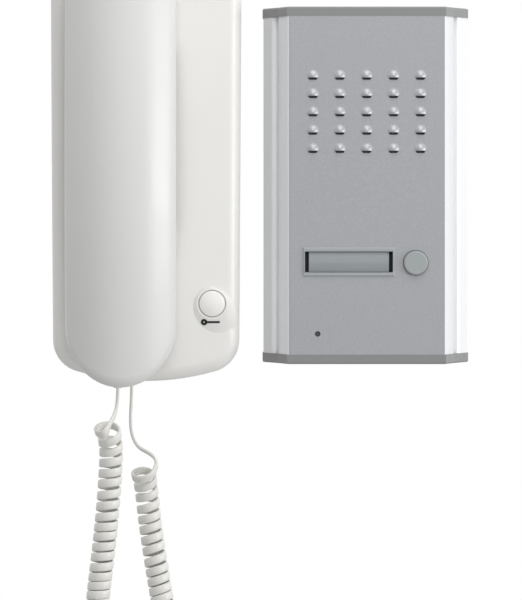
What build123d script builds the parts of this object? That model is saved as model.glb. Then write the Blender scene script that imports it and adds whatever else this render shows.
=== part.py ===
from build123d import *
import os
from math import asin, cos, degrees, pi, radians, sin, sqrt, tan

# Wired intercom: an indoor station with a corded handset, and the door station that calls it.
# Sizes are in millimetres. X is to the right, Z is up, and -Y points from the wall to the viewer.
# The wall is the plane Y = 0. The origin is on the back of the indoor station's wall plate.
# A depth is a distance out from the wall, so it is minus Y.

# Indoor station
station_top_width = 94.0
station_foot_width = 91.6
station_height = 220.6
station_crest = 30.0
station_arch = 125.0
station_corner = 16.0
station_across = 240.0
station_along = 2400.0
station_rim = 7.0
station_wall = 2.2

# Handset
handset_x = -11.8
handset_width = 54.0
handset_length = 224.4
handset_end = 30.3
handset_over = 1.0
handset_back = station_crest + handset_over
handset_thickness = 27.0
handset_crest = handset_back + handset_thickness
handset_across = 36.0
handset_along = 700.0
handset_rim = 6.0
handset_heel = 2.5
handset_wall = 2.0
handset_split = handset_back + 7.0
grip_rise = 4.6
grip_half = 57.0

# The two round bosses of the handset and the cradles that hold them
boss_z = 80.0
boss_radius = 20.5
boss_length = 9.0
boss_base = handset_back - boss_length
boss_draft = 1.2
boss_round = 1.8
cradle_gap = 1.2
cradle_floor_gap = 0.6

# The finger scoop under the handset's grip: an arched channel whose ends run out gently
scoop_x = -8.0
scoop_low = -43.0
scoop_high = 55.0
scoop_ramp = 12.0
scoop_depth = 3.5
scoop_floor = station_crest - scoop_depth
scoop_across = 138.0

# Lines that many pieces share
running_gap = 0.3
snug_gap = 0.2
plate_thickness = 2.5
board_thickness = 1.6

# Door release button
release_x = 32.7
release_z = -72.0
release_radius = 6.35
release_hole_gap = 0.3
release_travel = 2.0
release_proud = 1.6
release_dome = 1.3
# Its mound, which falls away more gently to the lower left
mound_radius = release_radius + 1.25
mound_rise = 1.9
mound_sunk = 2.7
mound_spread = 1.45
mound_slide_x = -0.55
mound_slide_z = -1.3
mound_round = 0.7

# Hook switch
hook_z = -66.5
hook_radius = 2.5
hook_travel = 4.0

# Door station
door_x = 108.2
door_z = -14.1
door_width = 101.7
door_height = 174.8
door_depth = 32.0
door_cap = 4.7
door_cap_proud = 0.45
door_wall = 1.8
rail_depth = 10.0
groove_half = 43.0
groove_depth = 22.0
front_half = 38.4
front_plate = 1.5
louvre_columns = 5
louvre_rows = 5
louvre_pitch_x = 13.15
louvre_pitch_z = 8.95
louvre_z = 35.8
louvre_radius = 3.2
louvre_rise = 1.5
louvre_skin = 0.7
name_x = -8.65
name_z = -37.4
name_width = 43.0
name_height = 10.3
name_frame_width = 44.9
name_frame_height = 14.2
name_window_width = 39.1
call_x = 24.0
call_z = -37.9
call_radius = 5.95
call_proud = 2.2
call_travel = 1.5
door_mic_x = -23.9
door_mic_z = -72.6
speaker_radius = 25.0

# Curly cord and its two tails
coil_radius = 4.2
coil_wire = 3.2
coil_turns = 74
coil_start = 150.0
tail_width = 2.0
handset_outlet = (-13.1, -handset_split)
base_outlet = (-7.2, -13.0)
outlet_stand = 0.5
base_neck_width = 3.2
handset_neck_width = 4.0
neck_depth = 5.4

# The middle line of the curly cord, from the handset's end down, round and up to the station's end
coil_route = [
    (-17.6, -41.2, -136.5),
    (-16.9, -38.6, -144.5),
    (-16.9, -37.8, -157.0),
    (-18.9, -38.2, -182.0),
    (-22.9, -38.0, -215.0),
    (-26.4, -38.0, -252.0),
    (-28.0, -38.0, -289.0),
    (-14.9, -30.7, -304.0),
    (3.7, -20.3, -304.0),
    (16.8, -13.0, -289.0),
    (14.6, -13.0, -262.0),
    (10.4, -13.2, -234.0),
    (5.6, -13.0, -206.0),
    (1.6, -12.8, -180.0),
    (-0.6, -13.4, -168.0),
    (-1.6, -15.6, -160.0),
]
# Each tail runs from its strain relief to the coil, whose wire goes on in line with it
handset_tail_route = [
    (-13.1, -38.0, -112.7),
    (-13.1, -38.0, -118.6),
    (-15.65, -42.35, -127.65),
    (-19.67, -43.49, -131.97),
]
base_tail_route = [
    (-7.2, -13.0, -110.7),
    (-7.2, -13.0, -118.6),
    (-7.8, -13.1, -127.0),
    (-6.6, -13.7, -135.0),
    (-2.6, -14.6, -140.6),
    (2.4, -15.9, -143.8),
    (5.9, -17.1, -148.8),
    (4.96, -18.1, -154.5),
]

parts = []


def front(depth):
    """The plane at a depth, facing the viewer, with X to the right and Z up."""
    return Plane.XZ.offset(depth)


def keep(part, name):
    """Labels a finished piece and writes it to its own file."""
    part.label = name
    export_step(part, f"parts/{name}.step")
    parts.append(name)


def block(left, right, low, high, back, face, mode=Mode.ADD):
    """A block between two X, two Z and two depths."""
    with Locations(((left + right) / 2, -(back + face) / 2, (low + high) / 2)):
        Box(right - left, abs(face - back), high - low, mode=mode)


def post(x, z, radius, back, face, mode=Mode.ADD):
    """A round post, or hole, that runs out from the wall between two depths."""
    with Locations((x, -(back + face) / 2, z)):
        Cylinder(radius, abs(face - back), rotation=(90, 0, 0), mode=mode)


def cone(x, z, back_radius, face_radius, back, face, mode=Mode.ADD):
    """A tapered post between two depths."""
    with Locations((x, -(back + face) / 2, z)):
        Cone(back_radius, face_radius, face - back, rotation=(90, 0, 0), mode=mode)


def cross_slot(x, z, reach, width, back, face):
    """The cross of a screw's head, cut between two depths."""
    block(x - reach, x + reach, z - width / 2, z + width / 2, back, face, mode=Mode.SUBTRACT)
    block(x - width / 2, x + width / 2, z - reach, z + reach, back, face, mode=Mode.SUBTRACT)


def crown(x, z, tip, across, along, half_width, half_height, thickness):
    """A block whose face to the viewer is crowned across X and along Z, with its highest point at a depth."""
    swing = asin(half_height / along)
    axis_y = along - tip
    lean = asin(half_width / across)
    shoulder = along - across * (1 - cos(lean))
    arch = [
        (across * sin(lean * i / 4), along - across * (1 - cos(lean * i / 4)))
        for i in range(-4, 5)
    ]
    swung = Plane(
        origin=(x, axis_y, z),
        x_dir=(1, 0, 0),
        z_dir=(0, sin(swing), -cos(swing)),
    )
    with BuildPart() as crowned:
        with BuildSketch(swung):
            with BuildLine():
                Spline(*arch, tangents=((cos(lean), sin(lean)), (cos(lean), -sin(lean))))
                Polyline(
                    (half_width, shoulder),
                    (half_width, along - thickness),
                    (-half_width, along - thickness),
                    (-half_width, shoulder),
                )
            make_face()
        revolve(
            axis=Axis((x, axis_y, z), (-1, 0, 0)),
            revolution_arc=2 * degrees(swing),
        )
    return crowned.part


def station_outline(inset):
    """Front view of the indoor station: tapered sides, arched ends and round corners."""
    top = station_top_width / 2 - inset
    foot = station_foot_width / 2 - inset
    reach = station_height / 2 - inset
    arch = station_arch - inset
    shoulder = reach - (arch - sqrt(arch**2 - top**2))
    heel = reach - (arch - sqrt(arch**2 - foot**2))
    with BuildSketch(Plane.XZ) as outline:
        with BuildLine():
            ThreePointArc((-foot, -heel), (0, -reach), (foot, -heel))
            Line((foot, -heel), (top, shoulder))
            ThreePointArc((top, shoulder), (0, reach), (-top, shoulder))
            Line((-top, shoulder), (-foot, -heel))
        make_face()
        fillet(outline.vertices(), station_corner - inset)
    return outline.sketch


def station_form(inset):
    """The indoor station's outside or, with an inset, the hollow inside it."""
    face = crown(
        0,
        0,
        station_crest - inset,
        station_across - inset,
        station_along - inset,
        station_top_width / 2 + 9,
        station_height / 2 + 5,
        station_crest + 5,
    )
    outline = station_outline(inset)
    with BuildPart() as form:
        extrude(outline, amount=station_crest + 3)
        add(face, mode=Mode.INTERSECT)
        rim = form.faces().sort_by(Axis.Y)[0].edges()
        fillet(rim, station_rim - inset)
    return form.part


def handset_form(inset):
    """The handset's outside or, with an inset, the hollow inside it."""
    half = handset_width / 2 - inset
    end = handset_end - inset
    straight = handset_length / 2 - handset_end
    back = handset_back + inset
    face = crown(
        handset_x,
        0,
        handset_crest - inset,
        handset_across - inset,
        handset_along - inset,
        handset_width / 2 + 1,
        handset_length / 2 + 5,
        handset_crest - handset_back + 8,
    )
    with BuildPart() as form:
        with BuildSketch(front(back)) as outline:
            with BuildLine():
                Line((handset_x + half, -straight), (handset_x + half, straight))
                EllipticalCenterArc((handset_x, straight), half, end, start_angle=0, arc_size=180)
                Line((handset_x - half, straight), (handset_x - half, -straight))
                EllipticalCenterArc((handset_x, -straight), half, end, start_angle=180, arc_size=180)
            make_face()
        extrude(outline.sketch, amount=handset_crest - handset_back + 3)
        add(face, mode=Mode.INTERSECT)
        rim = form.faces().sort_by(Axis.Y)[0].edges()
        fillet(rim, handset_rim - inset)
        heel = form.faces().sort_by(Axis.Y)[-1].edges()
        fillet(heel, max(handset_heel - inset, 0.5))
        with BuildSketch(Plane.YZ) as grip:
            with BuildLine():
                ThreePointArc((-back, -grip_half), (-back - grip_rise, 0), (-back, grip_half))
                Polyline(
                    (-back, grip_half),
                    (1 - back, grip_half),
                    (1 - back, -grip_half),
                    (-back, -grip_half),
                )
            make_face()
        extrude(grip.sketch, amount=handset_width, both=True, mode=Mode.SUBTRACT)
        for z in (-boss_z, boss_z):
            cone(
                handset_x,
                z,
                boss_radius - boss_draft - inset,
                boss_radius - inset,
                boss_base + inset,
                handset_back + inset + 1,
            )
    return form.part


os.makedirs("parts", exist_ok=True)

# Depths that follow from the sizes above
release_hole = release_radius + release_hole_gap
cradle_floor = boss_base - cradle_floor_gap
cradle_back = cradle_floor - station_wall
board_back = 6.0
board_face = board_back + board_thickness
board_left = -36.0
board_right = 42.0
board_low = -94.0
board_high = -28.0
plate_holes = [(-30.0, -20.0), (30.0, -20.0), (-30.0, 45.0), (30.0, 45.0)]
plate_hole_radius = 2.1
board_posts = [(-32.0, -33.0), (38.0, -33.0), (-32.0, -89.0), (14.0, -89.0)]
screw_shank = 1.25
thread_gap = 0.02
screw_head = 2.4
screw_head_height = 1.5


def scoop_form(grown):
    """The finger scoop or, grown by the wall, the form under it that keeps the cover's thickness."""
    above = 3.0
    floor = scoop_floor - grown
    across = scoop_across + grown
    deep = scoop_depth + grown + above
    half = sqrt(2 * across * deep - deep**2)
    end_radius = (scoop_ramp**2 + scoop_depth**2) / (2 * scoop_depth) + grown
    run = sqrt(2 * end_radius * deep - deep**2)
    low = scoop_low + scoop_ramp
    high = scoop_high - scoop_ramp
    top = floor + deep
    with BuildPart() as form:
        with BuildSketch(Plane.XY.offset(low - run - 1)) as channel:
            with BuildLine():
                ThreePointArc((scoop_x - half, -top), (scoop_x, -floor), (scoop_x + half, -top))
                Line((scoop_x + half, -top), (scoop_x - half, -top))
            make_face()
        extrude(channel.sketch, amount=high - low + 2 * run + 2)
        with BuildSketch(Plane.YZ.offset(scoop_x - half - 1)) as profile:
            with BuildLine():
                Line((-floor, low), (-floor, high))
                TangentArc((-floor, high), (-top, high + run), tangent=(0, 1))
                Line((-top, high + run), (-top, low - run))
                TangentArc((-floor, low), (-top, low - run), tangent=(0, -1))
            make_face()
        extrude(profile.sketch, amount=2 * half + 2, mode=Mode.INTERSECT)
    return form.part


station_outside = station_form(0)
station_inside = station_form(station_wall)
station_foot = -station_height / 2
station_head = station_height / 2
release_fall = station_across - sqrt(station_across**2 - release_x**2)
release_seat = station_crest - release_fall - station_along + sqrt(station_along**2 - release_z**2)
mound_depth = release_seat + mound_rise
flange_radius = release_radius + 1.5
flange_face = mound_depth - 4.8
flange_back = flange_face - 1.4
pocket_radius = flange_radius + running_gap
pocket_end = flange_face - 7.0
hook_guide_end = cradle_back - 1.8
hook_flange = 4.1
hook_flange_face = hook_guide_end - running_gap - hook_travel
hook_flange_back = hook_flange_face - 1.3
cover_screw_x = 22.0
cover_screw_depth = 8.0
screw_pad_foot = station_foot + 2.9
screw_lug_foot = station_foot + 6.8
screw_seat = station_foot + 4.3

mound_drop = mound_rise + mound_sunk
with BuildPart() as release_mound:
    with BuildSketch(front(mound_depth - mound_drop)) as mound_foot:
        with Locations((release_x + mound_slide_x * mound_drop, release_z + mound_slide_z * mound_drop)):
            Circle(mound_radius + mound_spread * mound_drop)
    with BuildSketch(front(mound_depth)) as mound_top:
        with Locations((release_x, release_z)):
            Circle(mound_radius)
    loft([mound_foot.sketch, mound_top.sketch], ruled=True)
    fillet(release_mound.edges().sort_by(Axis.Y)[0], mound_round)

# Inside of the cover: the hollow, less what stands in it behind the cradles and the scoop
with BuildPart() as cover_hollow:
    add(station_inside)
    for z in (-boss_z, boss_z):
        cone(
            handset_x,
            z,
            boss_radius - boss_draft + cradle_gap + station_wall,
            boss_radius + cradle_gap + station_wall,
            cradle_back,
            station_crest + 1,
            mode=Mode.SUBTRACT,
        )
    add(scoop_form(station_wall), mode=Mode.SUBTRACT)

with BuildPart() as station_cover:
    add(station_outside)
    add(release_mound.part)
    add(cover_hollow.part, mode=Mode.SUBTRACT)
    for z in (-boss_z, boss_z):
        cone(
            handset_x,
            z,
            boss_radius - boss_draft + cradle_gap,
            boss_radius + cradle_gap,
            cradle_floor,
            station_crest + 1,
            mode=Mode.SUBTRACT,
        )
    add(scoop_form(0), mode=Mode.SUBTRACT)
    # Guide ring, pocket and hole of the release button
    post(release_x, release_z, pocket_radius + 1.2, pocket_end, flange_face)
    post(release_x, release_z, pocket_radius, pocket_end - 1, flange_face + running_gap, mode=Mode.SUBTRACT)
    post(release_x, release_z, release_hole, pocket_end - 1, mound_depth + 1, mode=Mode.SUBTRACT)
    # Guide tube of the hook plunger
    post(handset_x, hook_z, hook_radius + running_gap + 1.8, hook_guide_end, cradle_floor - 1)
    post(handset_x, hook_z, hook_radius + running_gap, hook_guide_end - 1, station_crest, mode=Mode.SUBTRACT)
    # Sound holes in the upper cradle's floor
    with BuildSketch(front(cradle_back - 1)) as sound_holes:
        with Locations((handset_x, boss_z)):
            Circle(1.3)
            with PolarLocations(6.5, 6):
                Circle(1.3)
            with PolarLocations(12.5, 12):
                Circle(1.3)
    extrude(sound_holes.sketch, amount=station_wall + 2, mode=Mode.SUBTRACT)
    # Way in for the cover's screw and for the cord
    with Locations((cover_screw_x, -cover_screw_depth, (screw_lug_foot + screw_pad_foot) / 2)):
        Cylinder(4.4, screw_lug_foot - screw_pad_foot)
    with Locations((cover_screw_x, -cover_screw_depth, station_foot)):
        Cylinder(1.7, 20, mode=Mode.SUBTRACT)
    with Locations((cover_screw_x, -cover_screw_depth, screw_seat - 5)):
        Cylinder(3.0, 10, mode=Mode.SUBTRACT)
    with Locations((*base_outlet, station_foot)):
        Box(base_neck_width, neck_depth, 8, mode=Mode.SUBTRACT)
    # Two tabs at the top that hook over the wall plate's edge
    tab_back = plate_thickness + snug_gap
    for x in (-12.0, 12.0):
        block(x - 4, x + 4, station_head - 6.8, station_head - 1.8, tab_back, tab_back + 2)
keep(station_cover.part, "station_cover")

# Wall plate with its screw holes, cable opening, board posts and the rim that holds the sounder
plate_outline = station_outline(station_wall + 0.4)
sounder_radius = 18.0
sounder_face = 13.5
with BuildPart() as wall_plate:
    extrude(plate_outline, amount=plate_thickness)
    with Locations((0, -plate_thickness / 2, 14)):
        Box(34, plate_thickness + 2, 24, mode=Mode.SUBTRACT)
    for x, z in plate_holes:
        post(x, z, plate_hole_radius, -1, plate_thickness + 1, mode=Mode.SUBTRACT)
    for x, z in board_posts:
        post(x, z, 3.0, plate_thickness - 0.5, board_back)
        post(x, z, screw_shank, 1.5, board_back + 1, mode=Mode.SUBTRACT)
    post(handset_x, boss_z, sounder_radius + 1.8, plate_thickness - 0.5, 9.0)
    post(handset_x, boss_z, sounder_radius + snug_gap, plate_thickness, 10.0, mode=Mode.SUBTRACT)
    block(
        cover_screw_x - 5,
        cover_screw_x + 5,
        screw_lug_foot,
        screw_lug_foot + 6,
        plate_thickness - 0.5,
        cover_screw_depth + 4,
    )
    with Locations((cover_screw_x, -cover_screw_depth, screw_lug_foot + 3)):
        Cylinder(screw_shank, 8, mode=Mode.SUBTRACT)
keep(wall_plate.part, "wall_plate")

with BuildPart() as station_board:
    block(board_left, board_right, board_low, board_high, board_back, board_face)
    for x, z in board_posts:
        post(x, z, 1.6, board_back - 1, board_face + 1, mode=Mode.SUBTRACT)
    with BuildSketch(front(board_back - 1)) as lead_holes:
        with Locations((-26, -60)):
            with GridLocations(2.54, 5.08, 2, 5):
                Circle(0.5)
    extrude(lead_holes.sketch, amount=board_thickness + 2, mode=Mode.SUBTRACT)
keep(station_board.part, "station_circuit_board")


def board_screws(places, face, length, outwards=1):
    """Pan-head screws that hold a board, as separate solids, with their heads at a depth."""
    with BuildPart() as screws:
        for x, z in places:
            head_end = face + outwards * screw_head_height
            post(x, z, screw_head, face, head_end)
            post(x, z, screw_shank - thread_gap, face, face - outwards * length)
            cross_slot(x, z, 1.6, 0.6, head_end - outwards * 0.6, head_end)
    return screws.part


keep(board_screws(board_posts, board_face, 5.0), "station_board_screws")

# The cover's screw comes up from below, with its head sunk in the cover's underside
with BuildPart() as cover_screw:
    with Locations((cover_screw_x, -cover_screw_depth, screw_seat - 0.8)):
        Cylinder(2.7, 1.6)
    with Locations((cover_screw_x, -cover_screw_depth, screw_seat + 4.0)):
        Cylinder(screw_shank - thread_gap, 9.0)
    with Locations((cover_screw_x, -cover_screw_depth, screw_seat - 1.2)):
        Box(3.4, 0.6, 1.2, mode=Mode.SUBTRACT)
        Box(0.6, 3.4, 1.2, mode=Mode.SUBTRACT)
keep(cover_screw.part, "cover_screw")


def screw_terminals(x, z, ways, back, face):
    """A row of screw terminals: the housing, and its screws as separate solids.
    The screws look the way that the face lies from the back, and the wires go in at the top."""
    pitch = 5.0
    outwards = 1 if face > back else -1
    centres = [x + (way - (ways - 1) / 2) * pitch for way in range(ways)]
    mouth_start = back + (face - back) * 0.2
    mouth_end = back + (face - back) * 0.5
    with BuildPart() as housing:
        block(x - ways * pitch / 2, x + ways * pitch / 2, z - 4, z + 4, back, face)
        for centre in centres:
            post(centre, z, 1.9, face - outwards * 3.5, face + outwards, mode=Mode.SUBTRACT)
            block(centre - 1.5, centre + 1.5, z + 1.5, z + 5, mouth_start, mouth_end, mode=Mode.SUBTRACT)
    with BuildPart() as screws:
        for centre in centres:
            head = face - outwards * 1.3
            post(centre, z, 1.7, head - outwards * 2.0, head)
            block(
                centre - 1.8,
                centre + 1.8,
                z - 0.25,
                z + 0.25,
                head - outwards * 0.5,
                head + outwards * 0.3,
                mode=Mode.SUBTRACT,
            )
    return housing.part, screws.part


station_terminal_housing, station_terminal_screws = screw_terminals(4.0, -33.5, 6, board_face, 17.6)
keep(station_terminal_housing, "station_terminal_block")
keep(station_terminal_screws, "station_terminal_screws")


def can_capacitors(places, seat, outwards=1):
    """Electrolytic capacitors that stand on a board, as separate solids, each with a crimped groove."""
    with BuildPart() as cans:
        for x, z, radius, height in places:
            post(x, z, radius, seat, seat + outwards * height)
            groove = seat + outwards * 1.6
            with Locations((x, -groove, z)):
                Torus(radius + 0.25, 0.55, rotation=(90, 0, 0), mode=Mode.SUBTRACT)
    return cans.part


station_cans = [(-24.0, -44.0, 4.0, 10.0), (-13.0, -45.0, 4.0, 10.0), (-2.0, -44.0, 3.15, 7.0)]
keep(can_capacitors(station_cans, board_face), "station_capacitors")


def resistor_group(places, seat, outwards=1):
    """Axial resistors that lie on a board along X, as separate solids with their bent leads."""
    with BuildPart() as resistors:
        for x, z in places:
            middle = seat + outwards * 1.3
            with Locations((x, -middle, z)):
                Cylinder(1.15, 6.2, rotation=(0, 90, 0))
            with Locations((x, -middle, z)):
                Cylinder(0.3, 8.6, rotation=(0, 90, 0))
            top = middle + outwards * 0.45
            for side in (-1, 1):
                post(x + side * 4.3, z, 0.37, seat, top)
    return resistors.part


station_resistor_places = [(12.0, -44.0), (12.0, -49.0), (12.0, -54.0), (27.0, -44.0), (27.0, -49.0)]
keep(resistor_group(station_resistor_places, board_face), "station_resistors")


def transistor_group(places, seat, outwards=1):
    """Small flat-fronted transistors standing on three legs, as separate solids."""
    with BuildPart() as transistors:
        for x, z in places:
            low = seat + 1.5 if outwards > 0 else seat - 6.0
            post(x, z, 2.3, low, low + 4.5)
            block(x - 2.5, x + 2.5, z - 2.5, z - 1.2, low - 1, low + 6, mode=Mode.SUBTRACT)
            for step in (-1.27, 0, 1.27):
                post(x + step, z, 0.28, seat, seat + outwards * 1.6)
    return transistors.part


keep(transistor_group([(23.0, -56.5), (-3.0, -53.5)], board_face), "station_transistors")


def push_switch(x, z, seat, height, plunger_radius):
    """A square push switch on a board, facing the viewer: its case and its plunger in one piece."""
    with BuildPart() as switch:
        block(x - 3, x + 3, z - 3, z + 3, seat, seat + height - 1)
        post(x, z, plunger_radius, seat + height - 1, seat + height)
        chamfer(switch.faces().sort_by(Axis.Y)[0].edges(), 0.2)
    return switch.part


release_switch_height = 4.4
release_switch_face = board_face + release_switch_height
keep(push_switch(release_x, release_z, board_face, release_switch_height, 1.7), "release_switch")

# Sounder: a moulded drum with its sound hole, held in the wall plate's rim
with BuildPart() as sounder:
    post(handset_x, boss_z, sounder_radius, plate_thickness, sounder_face)
    fillet(sounder.faces().sort_by(Axis.Y)[0].edges(), 1.5)
    post(handset_x, boss_z, 4.0, sounder_face - 2.5, sounder_face + 1, mode=Mode.SUBTRACT)
keep(sounder.part, "sounder")


# Coiled shapes


def unit(v):
    """A vector of length one."""
    return v * (1 / v.length)


def biarc(start, start_way, end, end_way):
    """Two arcs, tangent to each other, that join two points along two given directions."""
    gap = end - start
    a = 2 * (1 - start_way.dot(end_way))
    b = 2 * gap.dot(start_way + end_way)
    c = -gap.dot(gap)
    reach = -c / b if abs(a) < 1e-9 else (-b + sqrt(b * b - 4 * a * c)) / (2 * a)
    first = start + start_way * reach
    last = end - end_way * reach
    middle = (first + last) * 0.5
    TangentArc(start, middle, tangent=start_way)
    TangentArc(middle, end, tangent=unit(last - first))


def coil_points(axis, radius, turns, first_angle, per_turn):
    """Points and directions of a right-handed coil round an axis wire, at even steps of its turning."""
    fine = 24
    steps = int(turns * per_turn)
    turning = radians(360 * steps / per_turn)
    normal = None
    found = []
    count = steps * fine
    for i in range(count + 1):
        share = i / count
        way = unit(axis.tangent_at(share))
        if normal is None:
            normal = Vector(1, 0, 0)
        normal = unit(normal - way * normal.dot(way))
        if i % fine:
            continue
        side = way.cross(normal)
        angle = radians(first_angle) + turning * share
        out = normal * cos(angle) + side * sin(angle)
        spin = side * cos(angle) - normal * sin(angle)
        point = axis.position_at(share) + out * radius
        found.append((point, unit(spin * radius * turning + way * axis.length)))
    return found


def least_gap(line, thickness, apart, step):
    """Smallest gap between stretches of a tube that are more than a given length apart along it."""
    count = int(line.length / step)
    points = [line.position_at(i / count) for i in range(count + 1)]
    skip = int(apart / step)
    cell = {}
    least = float("inf")
    size = thickness * 3
    for i, p in enumerate(points):
        key = (int(p.X // size), int(p.Y // size), int(p.Z // size))
        cell.setdefault(key, []).append(i)
    for (cx, cy, cz), members in cell.items():
        near = []
        for dx in (-1, 0, 1):
            for dy in (-1, 0, 1):
                for dz in (-1, 0, 1):
                    near += cell.get((cx + dx, cy + dy, cz + dz), [])
        for i in members:
            for j in near:
                if j - i > skip:
                    least = min(least, (points[i] - points[j]).length)
    return least - thickness


def route_radii(route):
    """Radius at each corner of a route: 0.45 of the shorter run over the tangent of half the turn."""
    corners = [Vector(*p) for p in route]
    found = []
    for before, here, after in zip(corners, corners[1:], corners[2:]):
        shorter = min((here - before).length, (after - here).length)
        turn = radians((here - before).get_angle(after - here))
        found.append(0.45 * shorter / tan(turn / 2))
    return found


def spring(x, z, back, face, radius, wire, turns):
    """A compression spring that runs out from the wall, one turned tube between two depths."""
    rise = (face - back - wire) / turns
    quarter = 4
    with BuildPart() as coil:
        with BuildLine() as path:
            last = None
            for i in range(int(turns * quarter) + 1):
                angle = 2 * pi * i / quarter
                point = Vector(
                    x + radius * cos(angle),
                    -(back + wire / 2 + rise * i / quarter),
                    z + radius * sin(angle),
                )
                way = unit(
                    Vector(-2 * pi * radius * sin(angle), -rise, 2 * pi * radius * cos(angle))
                )
                if last:
                    biarc(last[0], last[1], point, way)
                last = (point, way)
        with BuildSketch(Plane(origin=path.line @ 0, z_dir=path.line % 0)) as section:
            Circle(wire / 2)
        sweep(section.sketch, path=path.line)
    return coil.part


def dome_middle(radius, height):
    """Half way up a round dome: how far it is from the axis, and how far below the crest."""
    ball = (radius**2 + height**2) / (2 * height)
    half = asin(radius / ball) / 2
    return ball * sin(half), ball * (1 - cos(half))


# Release button: a domed cap on a stem, with a flange that keeps it behind the cover
release_crest = mound_depth + release_proud
release_shoulder = release_crest - release_dome
release_stem_end = release_switch_face + release_travel + running_gap
with BuildPart() as release_button:
    with BuildSketch(Plane.XY.offset(release_z)) as profile:
        with BuildLine():
            Line((release_x, -flange_back), (release_x + flange_radius, -flange_back))
            Line((release_x + flange_radius, -flange_back), (release_x + flange_radius, -flange_face))
            Line((release_x + flange_radius, -flange_face), (release_x + release_radius, -flange_face))
            Line((release_x + release_radius, -flange_face), (release_x + release_radius, -release_shoulder))
            over, drop = dome_middle(release_radius, release_crest - release_shoulder)
            ThreePointArc(
                (release_x + release_radius, -release_shoulder),
                (release_x + over, drop - release_crest),
                (release_x, -release_crest),
            )
            Line((release_x, -release_crest), (release_x, -flange_back))
        make_face()
    revolve(profile.sketch, axis=Axis((release_x, 0, release_z), (0, 1, 0)))
    hollow_end = release_shoulder - 1.6
    post(release_x, release_z, release_radius - 1.6, flange_back - 1, hollow_end, mode=Mode.SUBTRACT)
    post(release_x, release_z, 2.0, release_stem_end, release_shoulder - 1.0)
keep(release_button.part, "release_button")
keep(
    spring(release_x, release_z, board_face, flange_back, flange_radius - 0.9, 0.7, 6),
    "release_spring",
)

# Hook plunger, pressed in by the handset's lower boss, with the arm that works its switch
hook_tip = boss_base - running_gap
with BuildPart() as hook_plunger:
    post(handset_x, hook_z, hook_radius, hook_flange_face - 0.5, hook_tip)
    fillet(hook_plunger.faces().sort_by(Axis.Y)[0].edges(), 0.8)
    post(handset_x, hook_z, hook_flange, hook_flange_back, hook_flange_face)
    block(handset_x - 11, handset_x, hook_z - 1.5, hook_z + 1.5, hook_flange_back, hook_flange_face)
    post(handset_x, hook_z, 1.6, board_face + 2.0, hook_flange_back + 0.5)
keep(hook_plunger.part, "hook_plunger")
keep(spring(handset_x, hook_z, board_face, hook_flange_back, 2.9, 0.5, 4), "hook_spring")

hook_switch_x = handset_x - 9.0
hook_switch_face = hook_flange_back - running_gap
with BuildPart() as hook_switch:
    case_face = hook_switch_face - 0.7
    block(hook_switch_x - 4.5, hook_switch_x + 4.5, hook_z - 2.6, hook_z + 2.6, board_face, case_face)
    block(
        hook_switch_x - 0.9,
        hook_switch_x + 0.9,
        hook_z - 1.2,
        hook_z + 1.2,
        case_face - 0.3,
        hook_switch_face,
    )
keep(hook_switch.part, "hook_switch")


def cord_grommet(outlet, wall_outer, wall, width, depth, reach, stand):
    """A strain relief: a neck through the wall below, a collar behind it, and a slight end outside.
    The outlet is its X and Y, and wall_outer is the Z of the wall's outer face."""
    x, y = outlet
    with BuildPart() as grommet:
        neck_top = wall_outer + wall + 0.6
        with Locations((x, y, (wall_outer - stand + neck_top) / 2)):
            Box(width, depth, neck_top - wall_outer + stand)
        fillet(grommet.edges().filter_by(Axis.Z), 0.9)
        with Locations((x, y, neck_top + reach / 2)):
            Box(width + 2.4, depth + 2.4, reach)
    return grommet.part


collar_reach = 4.5
keep(
    cord_grommet(
        base_outlet,
        station_foot + 0.1,
        station_wall,
        base_neck_width,
        neck_depth,
        collar_reach,
        outlet_stand,
    ),
    "base_strain_relief",
)

# Handset shells
handset_outside = handset_form(0)
handset_inside = handset_form(handset_wall)
handset_foot = -handset_length / 2
handset_posts = [47.0, -47.0]
back_post_end = handset_back + 13.2
front_post_end = back_post_end + snug_gap
handset_head_depth = handset_back + 7.0
handset_weight_back = handset_back + 13.0

with BuildPart() as handset_front:
    add(handset_outside)
    add(handset_inside, mode=Mode.SUBTRACT)
    half = handset_width
    reach = handset_length
    block(handset_x - half, handset_x + half, -reach, reach, 0, handset_split, mode=Mode.SUBTRACT)
    for z in handset_posts:
        post(handset_x, z, 3.0, front_post_end, handset_crest - 2.4)
        post(handset_x, z, 1.15, front_post_end - 1, handset_crest - 5, mode=Mode.SUBTRACT)
    with Locations((*handset_outlet, handset_foot)):
        Box(handset_neck_width, neck_depth, 8, mode=Mode.SUBTRACT)
keep(handset_front.part, "handset_front_shell")

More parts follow.
